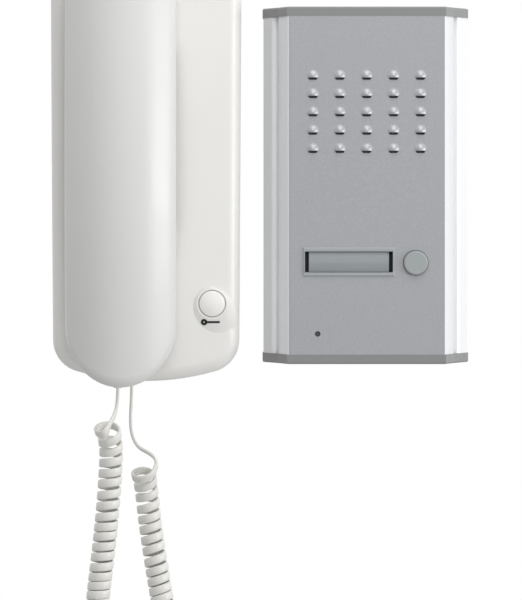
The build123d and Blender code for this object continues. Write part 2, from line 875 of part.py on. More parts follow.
with BuildPart() as handset_rear:
    add(handset_outside)
    add(handset_inside, mode=Mode.SUBTRACT)
    block(
        handset_x - half,
        handset_x + half,
        -reach,
        reach,
        handset_split,
        handset_crest + 5,
        mode=Mode.SUBTRACT,
    )
    for z in handset_posts:
        post(handset_x, z, 4.4, handset_back + grip_rise * 0.3 + 1.0, back_post_end)
        post(handset_x, z, 3.1, boss_base, handset_head_depth, mode=Mode.SUBTRACT)
        post(handset_x, z, 1.5, boss_base, back_post_end + 1, mode=Mode.SUBTRACT)
    # Ribs that carry the weight
    for z in (-20.0, 20.0):
        rib_back = handset_back + grip_rise + 0.6
        block(handset_x - 9, handset_x + 9, z - 0.8, z + 0.8, rib_back, handset_weight_back)
    # Ear and mouth holes, and the ring that holds the microphone's boot
    with BuildSketch(front(boss_base - 1)) as ear_holes:
        with Locations((handset_x, boss_z)):
            Circle(1.2)
            with PolarLocations(5.5, 6):
                Circle(1.2)
            with PolarLocations(10.5, 10):
                Circle(1.2)
        with Locations((handset_x, -boss_z - 2)):
            Circle(1.0)
            with PolarLocations(3.6, 5):
                Circle(1.0)
    extrude(ear_holes.sketch, amount=handset_wall + 2, mode=Mode.SUBTRACT)
    with BuildSketch(front(boss_base + handset_wall - 0.5)) as boot_ring:
        with Locations((handset_x, -boss_z - 2)):
            Circle(8.4)
            Circle(7.1, mode=Mode.SUBTRACT)
    extrude(boot_ring.sketch, amount=4.5)
    with Locations((*handset_outlet, handset_foot)):
        Box(handset_neck_width, neck_depth, 8, mode=Mode.SUBTRACT)
keep(handset_rear.part, "handset_back_shell")

keep(
    cord_grommet(
        handset_outlet,
        handset_foot,
        handset_wall,
        handset_neck_width,
        neck_depth,
        collar_reach,
        outlet_stand,
    ),
    "handset_strain_relief",
)

with BuildPart() as handset_screws:
    for z in handset_posts:
        post(handset_x, z, 2.8, handset_head_depth - 2.0, handset_head_depth)
        post(handset_x, z, 1.12, handset_head_depth - 0.5, handset_head_depth + 13)
        cross_slot(handset_x, z, 1.7, 0.6, handset_head_depth - 3, handset_head_depth - 1.2)
keep(handset_screws.part, "handset_screws")

with BuildPart() as handset_weight:
    block(handset_x - 8, handset_x + 8, -30, 30, handset_weight_back, handset_weight_back + 7.0)
    chamfer(handset_weight.edges(), 0.8)
keep(handset_weight.part, "handset_weight")

# Receiver: a soft ring, then the capsule with its stepped rim and back dome
ear_floor = boss_base + handset_wall
with BuildPart() as receiver_gasket:
    with BuildSketch(front(ear_floor)) as ring:
        with Locations((handset_x, boss_z)):
            Circle(16.0)
            Circle(12.5, mode=Mode.SUBTRACT)
    extrude(ring.sketch, amount=1.5)
keep(receiver_gasket.part, "receiver_gasket")
with BuildPart() as receiver_capsule:
    post(handset_x, boss_z, 16.6, ear_floor + 1.5, ear_floor + 6.5)
    post(handset_x, boss_z, 13.5, ear_floor + 6.5, ear_floor + 10.0)
    post(handset_x, boss_z, 8.0, ear_floor + 10.0, ear_floor + 11.5)
    with BuildSketch(front(ear_floor + 1)) as openings:
        with Locations((handset_x, boss_z)):
            with PolarLocations(6.0, 6):
                Circle(1.2)
    extrude(openings.sketch, amount=2.0, mode=Mode.SUBTRACT)
keep(receiver_capsule.part, "receiver_capsule")

with BuildPart() as microphone_boot:
    post(handset_x, -boss_z - 2, 6.9, ear_floor, ear_floor + 6.5)
    post(handset_x, -boss_z - 2, 4.95, ear_floor + 1.2, ear_floor + 7.5, mode=Mode.SUBTRACT)
    post(handset_x, -boss_z - 2, 2.4, ear_floor - 1, ear_floor + 2, mode=Mode.SUBTRACT)
keep(microphone_boot.part, "handset_microphone_boot")
with BuildPart() as microphone:
    post(handset_x, -boss_z - 2, 4.85, ear_floor + 1.2, ear_floor + 6.2)
    fillet(microphone.faces().sort_by(Axis.Y)[0].edges(), 0.4)
    post(handset_x, -boss_z - 2, 1.0, ear_floor + 1, ear_floor + 2, mode=Mode.SUBTRACT)
keep(microphone.part, "handset_microphone")

# Curly cord
with BuildLine() as coil_axis:
    FilletPolyline(*coil_route, radius=route_radii(coil_route))
coil_axis_line = coil_axis.wires()[0]
samples = coil_points(coil_axis_line, coil_radius, coil_turns, coil_start, 2)
print("coil axis", round(coil_axis_line.length, 1), "pitch", round(coil_axis_line.length / coil_turns, 2))
print("coil axis radii", [round(r, 1) for r in route_radii(coil_route)])
print("handset tail radii", [round(r, 1) for r in route_radii(handset_tail_route)])
print("base tail radii", [round(r, 1) for r in route_radii(base_tail_route)])
lead_start = Vector(*handset_tail_route[-1])
lead_way = unit(lead_start - Vector(*handset_tail_route[-2]))
lead_end = lead_start + lead_way * coil_wire
exit_end = Vector(*base_tail_route[-1])
exit_way = unit(Vector(*base_tail_route[-2]) - exit_end)
exit_start = exit_end - exit_way * coil_wire
chain = [(lead_end, lead_way)] + samples[1:-1] + [(exit_start, exit_way)]
with BuildPart() as curly_cord:
    with BuildLine() as coil_path:
        Line(lead_start, lead_end)
        for (p, p_way), (q, q_way) in zip(chain, chain[1:]):
            biarc(p, p_way, q, q_way)
        Line(exit_start, exit_end)
    with BuildSketch(Plane(origin=lead_start, z_dir=lead_way)) as wire:
        Circle(coil_wire / 2)
    coil_wire_line = coil_path.wires()[0]
    sweep(wire.sketch, path=coil_wire_line)
keep(curly_cord.part, "curly_cord")
coil_length = coil_wire_line.length
coil_volume = coil_length * pi * coil_wire**2 / 4
coil_arcs = [edge.radius for edge in coil_wire_line.edges() if edge.geom_type == GeomType.CIRCLE]
print("coil wire length", round(coil_length), "volume share", round(curly_cord.part.volume / coil_volume, 4))
print("coil least gap", round(least_gap(coil_wire_line, coil_wire, 9.0, 0.6), 3))
print("tightest arc", round(min(coil_arcs), 2))


def cord_tail(route):
    """A round tube along a route of straight runs joined by tangent arcs."""
    with BuildPart() as tail:
        with BuildLine() as path:
            FilletPolyline(*route, radius=route_radii(route))
        middle = path.wires()[0]
        with BuildSketch(Plane(origin=middle @ 0, z_dir=middle % 0)) as section:
            Circle(tail_width / 2)
        sweep(section.sketch, path=middle)
    share = tail.part.volume / (middle.length * pi * tail_width**2 / 4)
    print("tail length", round(middle.length, 1), "volume share", round(share, 4))
    return tail.part


keep(cord_tail(handset_tail_route), "handset_cord_tail")
keep(cord_tail(base_tail_route), "base_cord_tail")

# Door station
cap_low = door_z - door_height / 2
cap_high = door_z + door_height / 2
rail_half = door_width / 2 - door_cap_proud
cover_depth = door_depth - front_plate


def door_contour(proud, depth_proud):
    """Half of the housing's outer outline seen from above, from the wall to the front."""
    return [
        (rail_half + proud, 0),
        (rail_half + proud, rail_depth + depth_proud),
        (groove_half + proud, groove_depth + depth_proud),
        (front_half + proud, door_depth + depth_proud),
    ]


def mirrored_polygon(half):
    """Both halves of an outline seen from above, as points with Y into the wall."""
    right = [(door_x + x, -depth) for x, depth in half]
    left = [(door_x - x, -depth) for x, depth in reversed(half)]
    return right + left


ledge = 3.6
inner_front = cover_depth - 1.6
door_port_x = rail_half - door_wall - 2.2
door_port_depth = 6.0


def door_rail(side):
    """One extruded side rail, with its ledge for the front plate, its groove and its screw port."""
    with BuildPart() as rail:
        with BuildSketch(Plane.XY.offset(cap_low + door_cap)) as contour:
            half = door_contour(0, 0)
            inside = [
                (front_half - 0.35, door_depth),
                (front_half - 0.35, cover_depth),
                (front_half - ledge, cover_depth),
                (front_half - ledge, inner_front),
                (front_half - door_wall, inner_front),
                (groove_half - door_wall, groove_depth - 0.8),
                (rail_half - door_wall, rail_depth - 0.8),
                (rail_half - door_wall, 0),
            ]
            corners = [(door_x + side * x, -depth) for x, depth in half + inside]
            Polygon(*corners, align=None)
            with Locations((door_x + side * (groove_half + 0.1), -groove_depth - 0.1)):
                Circle(0.45, mode=Mode.SUBTRACT)
            with Locations((door_x + side * door_port_x, -door_port_depth)):
                Circle(2.9)
                Circle(screw_shank, mode=Mode.SUBTRACT)
        extrude(contour.sketch, amount=door_height - 2 * door_cap)
    return rail.part


keep(door_rail(-1), "door_left_rail")
keep(door_rail(1), "door_right_rail")

door_ends = [("door_top_cap", cap_high - door_cap, 1), ("door_bottom_cap", cap_low + door_cap, -1)]
for name, level, outward in door_ends:
    with BuildPart() as cap:
        with BuildSketch(Plane.XY.offset(level)) as plan:
            Polygon(*mirrored_polygon(door_contour(door_cap_proud, 0.0)), align=None)
        extrude(plan.sketch, amount=outward * door_cap)
        outer_face = cap.faces().sort_by(Axis.Z)[-1 if outward > 0 else 0]
        fillet(outer_face.edges().filter_by(lambda e: e.center().Y < -0.1), 0.9)
        with BuildSketch(Plane.XY.offset(level)) as tongue:
            with Locations((door_x, -8.0)):
                Rectangle(66, 9)
                Rectangle(63, 6, mode=Mode.SUBTRACT)
        extrude(tongue.sketch, amount=-outward * 3.0)
        for side in (-1, 1):
            with Locations((door_x + side * door_port_x, -door_port_depth, level + outward * door_cap / 2)):
                Cylinder(1.6, door_cap + 2, mode=Mode.SUBTRACT)
            with Locations((door_x + side * door_port_x, -door_port_depth, level + outward * door_cap)):
                Cylinder(2.9, 4.0, mode=Mode.SUBTRACT)
    keep(cap.part, name)

with BuildPart() as cap_screws:
    for name, level, outward in door_ends:
        for side in (-1, 1):
            x = door_x + side * door_port_x
            with Locations((x, -door_port_depth, level + outward * (door_cap - 2.0 + 0.8))):
                Cylinder(2.6, 1.6)
            with Locations((x, -door_port_depth, level + outward * (door_cap - 2.0 - 5.5))):
                Cylinder(screw_shank - thread_gap, 11.4)
            with Locations((x, -door_port_depth, level + outward * (door_cap - 0.6))):
                Box(3.2, 0.6, 1.2, mode=Mode.SUBTRACT)
                Box(0.6, 3.2, 1.2, mode=Mode.SUBTRACT)
keep(cap_screws.part, "cap_screws")

# Back plate of the door station
door_hole_x = 32.0
door_hole_z = 68.0
door_hole_radius = 2.25
cable_hole_radius = 8.0
cable_hole_z = 8.0
with BuildPart() as door_back_plate:
    half = rail_half - door_wall
    block(door_x - half, door_x + half, cap_low + door_cap + 0.5, cap_high - door_cap - 0.5, 0, 1.5)
    for x in (door_x - door_hole_x, door_x + door_hole_x):
        for z in (door_z - door_hole_z, door_z + door_hole_z):
            post(x, z, door_hole_radius, -1, 3, mode=Mode.SUBTRACT)
    post(door_x, door_z + cable_hole_z, cable_hole_radius, -1, 3, mode=Mode.SUBTRACT)
keep(door_back_plate.part, "door_back_plate")

# Front plate with the raised louvres over the loudspeaker
plate_half = front_half - 0.5
hood_ball = (louvre_radius**2 + louvre_rise**2) / (2 * louvre_rise)
hood_centre = door_depth + louvre_rise - hood_ball
hood_cut = 1.0
with BuildPart() as door_front_plate:
    block(
        door_x - plate_half,
        door_x + plate_half,
        cap_low + door_cap,
        cap_high - door_cap,
        cover_depth,
        door_depth,
    )
    louvres = GridLocations(louvre_pitch_x, louvre_pitch_z, louvre_columns, louvre_rows)
    hood_places = [
        (door_x + place.position.X, -hood_centre, door_z + louvre_z + place.position.Y)
        for place in louvres
    ]
    with BuildPart(mode=Mode.PRIVATE) as hood:
        Sphere(hood_ball)
        Sphere(hood_ball - louvre_skin, mode=Mode.SUBTRACT)
        with Locations((0, hood_centre - door_depth + 0.2 + 10, 0)):
            Box(20, 20, 20, mode=Mode.SUBTRACT)
        with Locations((0, 0, -hood_cut - 5)):
            Box(20, 20, 10, mode=Mode.SUBTRACT)
    with BuildSketch(front(cover_depth - 1)) as slots:
        with Locations((door_x, door_z + louvre_z)):
            with GridLocations(louvre_pitch_x, louvre_pitch_z, louvre_columns, louvre_rows):
                with Locations((0, -hood_cut - 0.15)):
                    RectangleRounded(4.4, 1.9, 0.8)
    extrude(slots.sketch, amount=front_plate + 2, mode=Mode.SUBTRACT)
    with Locations(*hood_places):
        add(hood.part)
    with BuildSketch(front(cover_depth - 1)) as openings:
        with Locations((door_x + name_x, door_z + name_z)):
            Rectangle(name_width + 1.4, name_height + 2.5)
        with Locations((door_x + call_x, door_z + call_z)):
            Circle(call_radius + 0.3)
        with Locations((door_x + door_mic_x, door_z + door_mic_z)):
            Circle(1.38)
    extrude(openings.sketch, amount=front_plate + 2, mode=Mode.SUBTRACT)
keep(door_front_plate.part, "door_front_plate")

# Module frame: the moulding behind the front plate that carries the works
frame_back = cover_depth - 2.0
frame_half_x = 33.5
frame_low = door_z - 81.5
frame_high = door_z + louvre_z + speaker_radius + 9.2
window_width = 2 * frame_half_x - 5
window_height = 2 * speaker_radius - 6
speaker_post_x = frame_half_x - 2.5
speaker_post_z = speaker_radius + 4.25
door_board_face = 16.0
door_board_back = door_board_face - board_thickness
door_board_low = door_z - 81.0
door_board_high = door_z - 22.0
door_posts = [(-30.0, -26.0), (30.0, -26.0), (-30.0, -78.0), (30.0, -78.0)]
door_post_places = [(door_x + x, door_z + z) for x, z in door_posts]
gasket_thickness = 1.0
speaker_front = frame_back - gasket_thickness
with BuildPart() as module_frame:
    block(door_x - frame_half_x, door_x + frame_half_x, frame_low, frame_high, frame_back, cover_depth)
    with BuildSketch(front(frame_back - 1)) as windows:
        with Locations((door_x, door_z + louvre_z)):
            RectangleRounded(window_width, window_height, 6)
        with Locations((door_x + name_x, door_z + name_z)):
            Rectangle(name_width + 1.4, name_height + 2.5)
        with Locations((door_x + call_x, door_z + call_z)):
            Circle(call_radius + 0.4)
        with Locations((door_x + door_mic_x, door_z + door_mic_z)):
            Circle(1.6)
    extrude(windows.sketch, amount=4, mode=Mode.SUBTRACT)
    for x, z in door_post_places:
        post(x, z, 3.2, door_board_face, frame_back + 0.5)
        post(x, z, screw_shank, door_board_face - 1, frame_back - 2, mode=Mode.SUBTRACT)
    for x in (-speaker_post_x, speaker_post_x):
        for z in (-speaker_post_z, speaker_post_z):
            post(door_x + x, door_z + louvre_z + z, 2.2, speaker_front - 3.0, frame_back + 0.5)
keep(module_frame.part, "module_frame")

with BuildPart() as speaker_cloth:
    with BuildSketch(front(cover_depth - 0.45)) as cloth:
        with Locations((door_x, door_z + louvre_z)):
            RectangleRounded(window_width - 2 * running_gap, window_height - 2 * running_gap, 6 - running_gap)
    extrude(cloth.sketch, amount=0.4)
keep(speaker_cloth.part, "speaker_cloth")

with BuildPart() as speaker_gasket:
    with BuildSketch(front(speaker_front)) as seal:
        with Locations((door_x, door_z + louvre_z)):
            RectangleRounded(2 * frame_half_x - 0.5, 2 * speaker_radius, 6)
            Circle(speaker_radius - 2.6, mode=Mode.SUBTRACT)
    extrude(seal.sketch, amount=gasket_thickness)
keep(speaker_gasket.part, "speaker_gasket")

speaker_z = door_z + louvre_z
with BuildPart() as speaker_basket:
    with BuildSketch(Plane.XY.offset(speaker_z)) as basket:
        Polygon(
            (door_x + 14.0, -(speaker_front - 10.0)),
            (door_x + speaker_radius, -(speaker_front - 1.4)),
            (door_x + speaker_radius, -speaker_front),
            (door_x + speaker_radius - 2.6, -speaker_front),
            (door_x + speaker_radius - 2.8, -(speaker_front - 0.9)),
            (door_x + 13.0, -(speaker_front - 9.0)),
            (door_x + 6.6, -(speaker_front - 9.0)),
            (door_x + 6.6, -(speaker_front - 10.0)),
            align=None,
        )
    revolve(basket.sketch, axis=Axis((door_x, 0, speaker_z), (0, 1, 0)))
keep(speaker_basket.part, "speaker_basket")
with BuildPart() as speaker_magnet:
    post(door_x, speaker_z, 14.0, speaker_front - 17.0, speaker_front - 10.0)
    chamfer(speaker_magnet.faces().sort_by(Axis.Y)[-1].edges(), 0.6)
    post(door_x, speaker_z, 5.6, speaker_front - 10.5, speaker_front - 8.0)
keep(speaker_magnet.part, "speaker_magnet")
with BuildPart() as speaker_cone:
    with BuildSketch(Plane.XY.offset(speaker_z)) as membrane:
        with BuildLine():
            dome, rise, sheet = 7.5, 2.0, 0.5
            over, drop = dome_middle(dome, rise)
            crest = speaker_front - 4.2
            Line((door_x, -crest + sheet), (door_x, -crest))
            ThreePointArc((door_x, -crest), (door_x + over, drop - crest), (door_x + dome, rise - crest))
            Line((door_x + dome, rise - crest), (door_x + speaker_radius - 3.2, -(speaker_front - 0.3)))
            Line(
                (door_x + speaker_radius - 3.2, -(speaker_front - 0.3)),
                (door_x + speaker_radius - 3.2, -(speaker_front - 0.9)),
            )
            Line(
                (door_x + speaker_radius - 3.2, -(speaker_front - 0.9)),
                (door_x + dome, rise - crest + sheet),
            )
            ThreePointArc(
                (door_x + dome, rise - crest + sheet),
                (door_x + over, drop - crest + sheet),
                (door_x, -crest + sheet),
            )
        make_face()
    revolve(membrane.sketch, axis=Axis((door_x, 0, speaker_z), (0, 1, 0)))
keep(speaker_cone.part, "speaker_cone")

# Name plate: frame with its tray, the card and the window over it
name_centre_x = door_x + name_x
name_centre_z = door_z + name_z
frame_lip = 0.9
tray_floor = frame_back + 0.9
with BuildPart() as name_frame:
    with BuildSketch(front(door_depth)) as lip:
        with Locations((name_centre_x, name_centre_z)):
            Rectangle(name_frame_width, name_frame_height)
    extrude(lip.sketch, amount=frame_lip)
    chamfer(name_frame.faces().sort_by(Axis.Y)[0].edges(), 0.6)
    with BuildSketch(front(frame_back)) as tub:
        with Locations((name_centre_x, name_centre_z)):
            Rectangle(name_width + 1.2, name_height + 2.3)
    extrude(tub.sketch, amount=door_depth - frame_back)
    with BuildSketch(front(tray_floor)) as well:
        with Locations((name_centre_x, name_centre_z)):
            Rectangle(name_width, name_height)
    extrude(well.sketch, amount=10, mode=Mode.SUBTRACT)
    with BuildSketch(front(frame_back - 1)) as lamp_window:
        with Locations((name_centre_x, name_centre_z)):
            Rectangle(34, 6)
    extrude(lamp_window.sketch, amount=4, mode=Mode.SUBTRACT)
keep(name_frame.part, "name_frame")
with BuildPart() as name_card:
    block(
        name_centre_x - name_window_width / 2 + 0.3,
        name_centre_x + name_window_width / 2 - 0.3,
        name_centre_z - 4.7,
        name_centre_z + 4.7,
        tray_floor,
        tray_floor + 0.4,
    )
keep(name_card.part, "name_card")
window_crest = door_depth + 0.5
window_half = 4.95
with BuildPart() as name_window:
    with BuildSketch(Plane.YZ.offset(name_centre_x - name_window_width / 2)) as bulge:
        with BuildLine():
            ThreePointArc(
                (-(window_crest - 0.9), name_centre_z - window_half),
                (-window_crest, name_centre_z),
                (-(window_crest - 0.9), name_centre_z + window_half),
            )
            Polyline(
                (-(window_crest - 0.9), name_centre_z + window_half),
                (-(tray_floor + 0.4), name_centre_z + window_half),
                (-(tray_floor + 0.4), name_centre_z - window_half),
                (-(window_crest - 0.9), name_centre_z - window_half),
            )
        make_face()
    extrude(bulge.sketch, amount=name_window_width)
keep(name_window.part, "name_window")

with BuildPart() as door_board:
    block(door_x - 33, door_x + 33, door_board_low, door_board_high, door_board_back, door_board_face)
    for x, z in door_post_places:
        post(x, z, 1.6, door_board_back - 1, door_board_face + 1, mode=Mode.SUBTRACT)
keep(door_board.part, "door_circuit_board")
keep(board_screws(door_post_places, door_board_back, 7.0, outwards=-1), "door_board_screws")

call_switch_height = 4.0
keep(
    push_switch(door_x + call_x, door_z + call_z, door_board_face, call_switch_height, 1.6),
    "call_switch",
)

# Call button: a flat cap with a bevelled rim, its flange behind the module frame
call_face = door_depth + call_proud
call_flange_face = frame_back - running_gap
call_flange_back = call_flange_face - 1.2
call_stem_end = door_board_face + call_switch_height + call_travel + running_gap
with BuildPart() as call_button:
    post(door_x + call_x, door_z + call_z, call_radius, call_flange_back, call_face)
    chamfer(call_button.faces().sort_by(Axis.Y)[0].edges(), 0.7)
    post(door_x + call_x, door_z + call_z, call_radius + 1.4, call_flange_back, call_flange_face)
    post(
        door_x + call_x,
        door_z + call_z,
        call_radius - 1.3,
        call_flange_back - 1,
        call_face - 2,
        mode=Mode.SUBTRACT,
    )
    post(door_x + call_x, door_z + call_z, 1.8, call_stem_end, call_face - 1.5)
keep(call_button.part, "call_button")
keep(
    spring(door_x + call_x, door_z + call_z, door_board_face, call_flange_back, call_radius - 0.3, 0.6, 6),
    "call_spring",
)

with BuildPart() as name_lamps:
    for x in (-10.0, 10.0):
        post(name_centre_x + x, name_centre_z, 1.5, door_board_face, door_board_face + 4.5)
        with Locations((name_centre_x + x, -(door_board_face + 4.5), name_centre_z)):
            Sphere(1.5)
        post(name_centre_x + x, name_centre_z, 1.9, door_board_face, door_board_face + 1.0)
keep(name_lamps.part, "name_lamps")

mic_x = door_x + door_mic_x
mic_z = door_z + door_mic_z
with BuildPart() as door_mic_boot:
    post(mic_x, mic_z, 4.6, frame_back - 5.0, frame_back)
    post(mic_x, mic_z, 3.05, frame_back - 6, frame_back - 1.2, mode=Mode.SUBTRACT)
    post(mic_x, mic_z, 1.4, frame_back - 2, frame_back + 1, mode=Mode.SUBTRACT)
keep(door_mic_boot.part, "door_microphone_boot")
with BuildPart() as door_mic:
    post(mic_x, mic_z, 3.0, frame_back - 4.6, frame_back - 1.2)
    for side in (-1, 1):
        post(mic_x + side * 1.27, mic_z, 0.35, frame_back - 6.4, frame_back - 4.4)
keep(door_mic.part, "door_microphone")

door_terminal_housing, door_terminal_screws = screw_terminals(
    door_x - 4, door_z - 70, 4, door_board_back, door_board_back - 9.0
)
keep(door_terminal_housing, "door_terminal_block")
keep(door_terminal_screws, "door_terminal_screws")
door_cans = [(door_x - 2.0, door_z - 58.0, 4.0, 9.0), (door_x + 9.0, door_z - 58.0, 3.15, 7.0)]
keep(can_capacitors(door_cans, door_board_face), "door_capacitors")
door_resistor_places = [
    (door_x + 4.0, door_z - 69.0),
    (door_x + 4.0, door_z - 74.0),
    (door_x + 19.0, door_z - 69.0),
]
keep(resistor_group(door_resistor_places, door_board_face), "door_resistors")

with BuildPart() as volume_trimmer:
    x, z = door_x + 22.0, door_z - 58.0
    block(x - 3.3, x + 3.3, z - 3.3, z + 3.3, door_board_face, door_board_face + 3.4)
    post(x, z, 2.2, door_board_face + 3.4, door_board_face + 4.4)
    slot_floor = door_board_face + 3.9
    block(x - 1.8, x + 1.8, z - 0.35, z + 0.35, slot_floor, slot_floor + 1.1, mode=Mode.SUBTRACT)
keep(volume_trimmer.part, "volume_trimmer")

print(len(parts), "pieces")
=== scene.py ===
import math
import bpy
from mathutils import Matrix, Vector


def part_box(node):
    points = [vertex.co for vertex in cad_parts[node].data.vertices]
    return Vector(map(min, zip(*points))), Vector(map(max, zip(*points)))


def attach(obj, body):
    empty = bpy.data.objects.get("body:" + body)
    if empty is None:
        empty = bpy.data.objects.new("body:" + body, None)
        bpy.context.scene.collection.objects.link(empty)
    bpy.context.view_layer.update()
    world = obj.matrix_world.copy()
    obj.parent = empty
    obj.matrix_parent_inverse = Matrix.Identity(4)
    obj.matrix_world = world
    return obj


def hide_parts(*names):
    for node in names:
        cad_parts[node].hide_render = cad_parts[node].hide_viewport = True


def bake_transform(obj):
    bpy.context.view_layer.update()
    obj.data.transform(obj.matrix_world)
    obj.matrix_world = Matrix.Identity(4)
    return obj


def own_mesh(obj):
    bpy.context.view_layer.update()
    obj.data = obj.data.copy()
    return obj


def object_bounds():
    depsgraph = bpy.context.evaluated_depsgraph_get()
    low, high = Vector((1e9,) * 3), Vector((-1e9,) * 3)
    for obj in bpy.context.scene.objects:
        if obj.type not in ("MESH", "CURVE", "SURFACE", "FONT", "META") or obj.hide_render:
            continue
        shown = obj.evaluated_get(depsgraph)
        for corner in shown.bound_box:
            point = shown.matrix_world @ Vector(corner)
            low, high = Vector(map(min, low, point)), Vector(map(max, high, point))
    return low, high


bl_info = {
    "name": "Wired Intercom",
    "version": (1, 0, 0),
    "blender": (4, 5, 0),
    "location": "View3D > Sidebar > Intercom",
    "description": "An indoor station with a corded handset, and the door station that calls it",
    "category": "Object",
}

import bmesh
import bpy
from bpy.props import FloatProperty, FloatVectorProperty, PointerProperty
from mathutils import Matrix, Vector
from mathutils.bvhtree import BVHTree

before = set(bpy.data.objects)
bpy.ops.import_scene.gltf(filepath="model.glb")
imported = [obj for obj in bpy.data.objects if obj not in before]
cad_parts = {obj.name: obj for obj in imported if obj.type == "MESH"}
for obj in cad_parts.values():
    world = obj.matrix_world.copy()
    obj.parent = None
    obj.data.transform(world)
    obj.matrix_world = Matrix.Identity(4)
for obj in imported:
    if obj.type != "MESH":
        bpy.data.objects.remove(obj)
CAD_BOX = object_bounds()
MM = 0.001

# Measures of the door station, in millimetres
DOOR_MIDDLE_X = 108.2
PLATE_DEPTH = 32.0
LOUVRE_MIDDLE_Z = 21.7
LOUVRE_PITCH = (13.15, 8.95)
LOUVRE_COUNT = 5
LOUVRE_RADIUS = 3.2

# Spring steel's colour, and how its drawing marks are stretched
SPRING_STEEL = (0.52, 0.53, 0.55)
ALONG_WIRE = (0.05, 1.0, 1.0)

# The middle line of the curly cord, from the handset's end down, round and up to the station's end
COIL_ROUTE = [
    (-18.1, -45.0, -131.2),
    (-16.0, -40.0, -138.4),
    (-16.8, -37.8, -156.0),
    (-18.9, -38.2, -182.0),
    (-22.9, -38.0, -215.0),
    (-26.4, -38.0, -252.0),
    (-28.0, -38.0, -289.0),
    (-14.9, -30.7, -304.0),
    (3.7, -20.3, -304.0),
    (16.8, -13.0, -289.0),
    (14.6, -13.0, -262.0),
    (10.4, -13.2, -234.0),
    (5.6, -13.0, -206.0),
    (1.6, -12.8, -180.0),
    (-0.2, -15.2, -160.8),
    (-1.4, -21.0, -153.8),
]
# The two tails, each from its strain relief to where the coil begins
HANDSET_TAIL = [
    (-13.1, -38.0, -112.7),
    (-13.3, -38.6, -119.5),
    (-14.2, -42.5, -125.0),
    (-16.4, -47.8, -129.4),
]
BASE_TAIL = [
    (-7.2, -13.0, -110.7),
    (-7.3, -13.0, -118.6),
    (-7.9, -13.4, -127.5),
    (-7.6, -14.6, -136.5),
    (-4.4, -16.0, -143.2),
    (1.2, -17.5, -145.8),
    (4.8, -19.0, -148.6),
    (5.2, -20.5, -152.4),
]


# Small helpers


def vectors(points):
    """Route points in millimetres as vectors in metres."""
    return [Vector(p) * MM for p in points]


def mix(a, b, share):
    """The value that lies a share of the way from a to b."""
    return a + (b - a) * share


def ease(share):
    """A smooth step from 0 to 1."""
    share = min(max(share, 0.0), 1.0)
    return share * share * (3 - 2 * share)


def placed(name, data):
    """A new object in the scene, with its data."""
    thing = bpy.data.objects.new(name, data)
    bpy.context.scene.collection.objects.link(thing)
    return thing


def mesh_object(name, vertices, faces, smooth=True):
    """A new object from vertices and faces."""
    mesh = bpy.data.meshes.new(name)
    mesh.from_pydata([tuple(v) for v in vertices], [], faces)
    mesh.validate()
    if smooth:
        mesh.shade_smooth()
    else:
        mesh.shade_flat()
    return placed(name, mesh)


def built_object(name, build):
    """A new object from a mesh that has been built."""
    mesh = bpy.data.meshes.new(name)
    build.to_mesh(mesh)
    build.free()
    return placed(name, mesh)


def circle(centre, radius, steps):
    """Places round a circle, as pairs."""
    turns = [2 * math.pi * i / steps for i in range(steps)]
    return [(centre[0] + radius * math.cos(t), centre[1] + radius * math.sin(t)) for t in turns]


def neighbours(count):
    """Each number up to a count with the next, and the last with the first."""
    return [(i, (i + 1) % count) for i in range(count)]


def raised_normal(height, settings, x, z, step):
    """Normal of a front that stands out by height(settings, x, z)."""
    slope_x = (height(settings, x + step, z) - height(settings, x - step, z)) / (2 * step)
    slope_z = (height(settings, x, z + step) - height(settings, x, z - step)) / (2 * step)
    return Vector((-slope_x, -1.0, -slope_z)).normalized()


def face_tree(name):
    """A search tree of a CAD node's faces."""
    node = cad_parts[name]
    corners = [node.matrix_world @ v.co for v in node.data.vertices]
    return BVHTree.FromPolygons(corners, [p.vertices for p in node.data.polygons])


def front_hit(tree, x, z):
    """Where a straight look from the front meets a search tree."""
    before_front = -0.2
    return tree.ray_cast(Vector((x, before_front, z)), Vector((0, 1, 0)))[0]


def linear(colour):
    """An sRGB colour with channels from 0 to 255 as the linear colour that shaders use."""
    channels = [c / 255 for c in colour]
    return [c / 12.92 if c <= 0.04045 else ((c + 0.055) / 1.055) ** 2.4 for c in channels]


def colour_property(name, description, colour):
    """A colour setting."""
    return FloatVectorProperty(
        name=name,
        description=description,
        subtype="COLOR",
        size=3,
        min=0,
        max=1,
        default=linear(colour),
    )


def length_property(name, description, millimetres):
    """A length setting."""
    default = millimetres * MM
    return FloatProperty(name=name, description=description, unit="LENGTH", default=default, precision=5)


def power_property(name, description, watts):
    """A setting of a lamp's power."""
    return FloatProperty(name=name, description=description, subtype="POWER", default=watts)


def share_property(name, description, share):
    """A setting that is a share."""
    return FloatProperty(name=name, description=description, subtype="FACTOR", default=share)


# Settings


class IntercomStageSettings(bpy.types.PropertyGroup):
    """Where the camera stands, and how bright the studio is."""

    distance: length_property("Camera distance", "From the wall to the camera", 1800)
    camera_x: length_property("Camera across", "How far right of the origin the camera stands", 56.58)
    camera_z: length_property("Camera height", "Height of the camera over the origin", -13.93)
    frame_height: length_property("Frame height", "Height of the picture at the wall", 298.5)
    drop: share_property("Drop", "How far the picture's middle lies below the camera, in heights", 0.19167)
    key_power: power_property("Key light", "Power of the large lamp on the right", 19.5)
    side_power: power_property("Side light", "Power of the lamp that lights the right-hand edges", 1.6)
    left_power: power_property("Left light", "Power of the lamp that lights the left-hand edges", 0.8)
    top_power: power_property("Top light", "Power of the lamp above the object", 3.6)
    room: FloatProperty(name="Room light", description="Strength of the light from all around", default=0.52)
    floor_colour: colour_property("Floor", "Colour of the floor", (214, 214, 214))


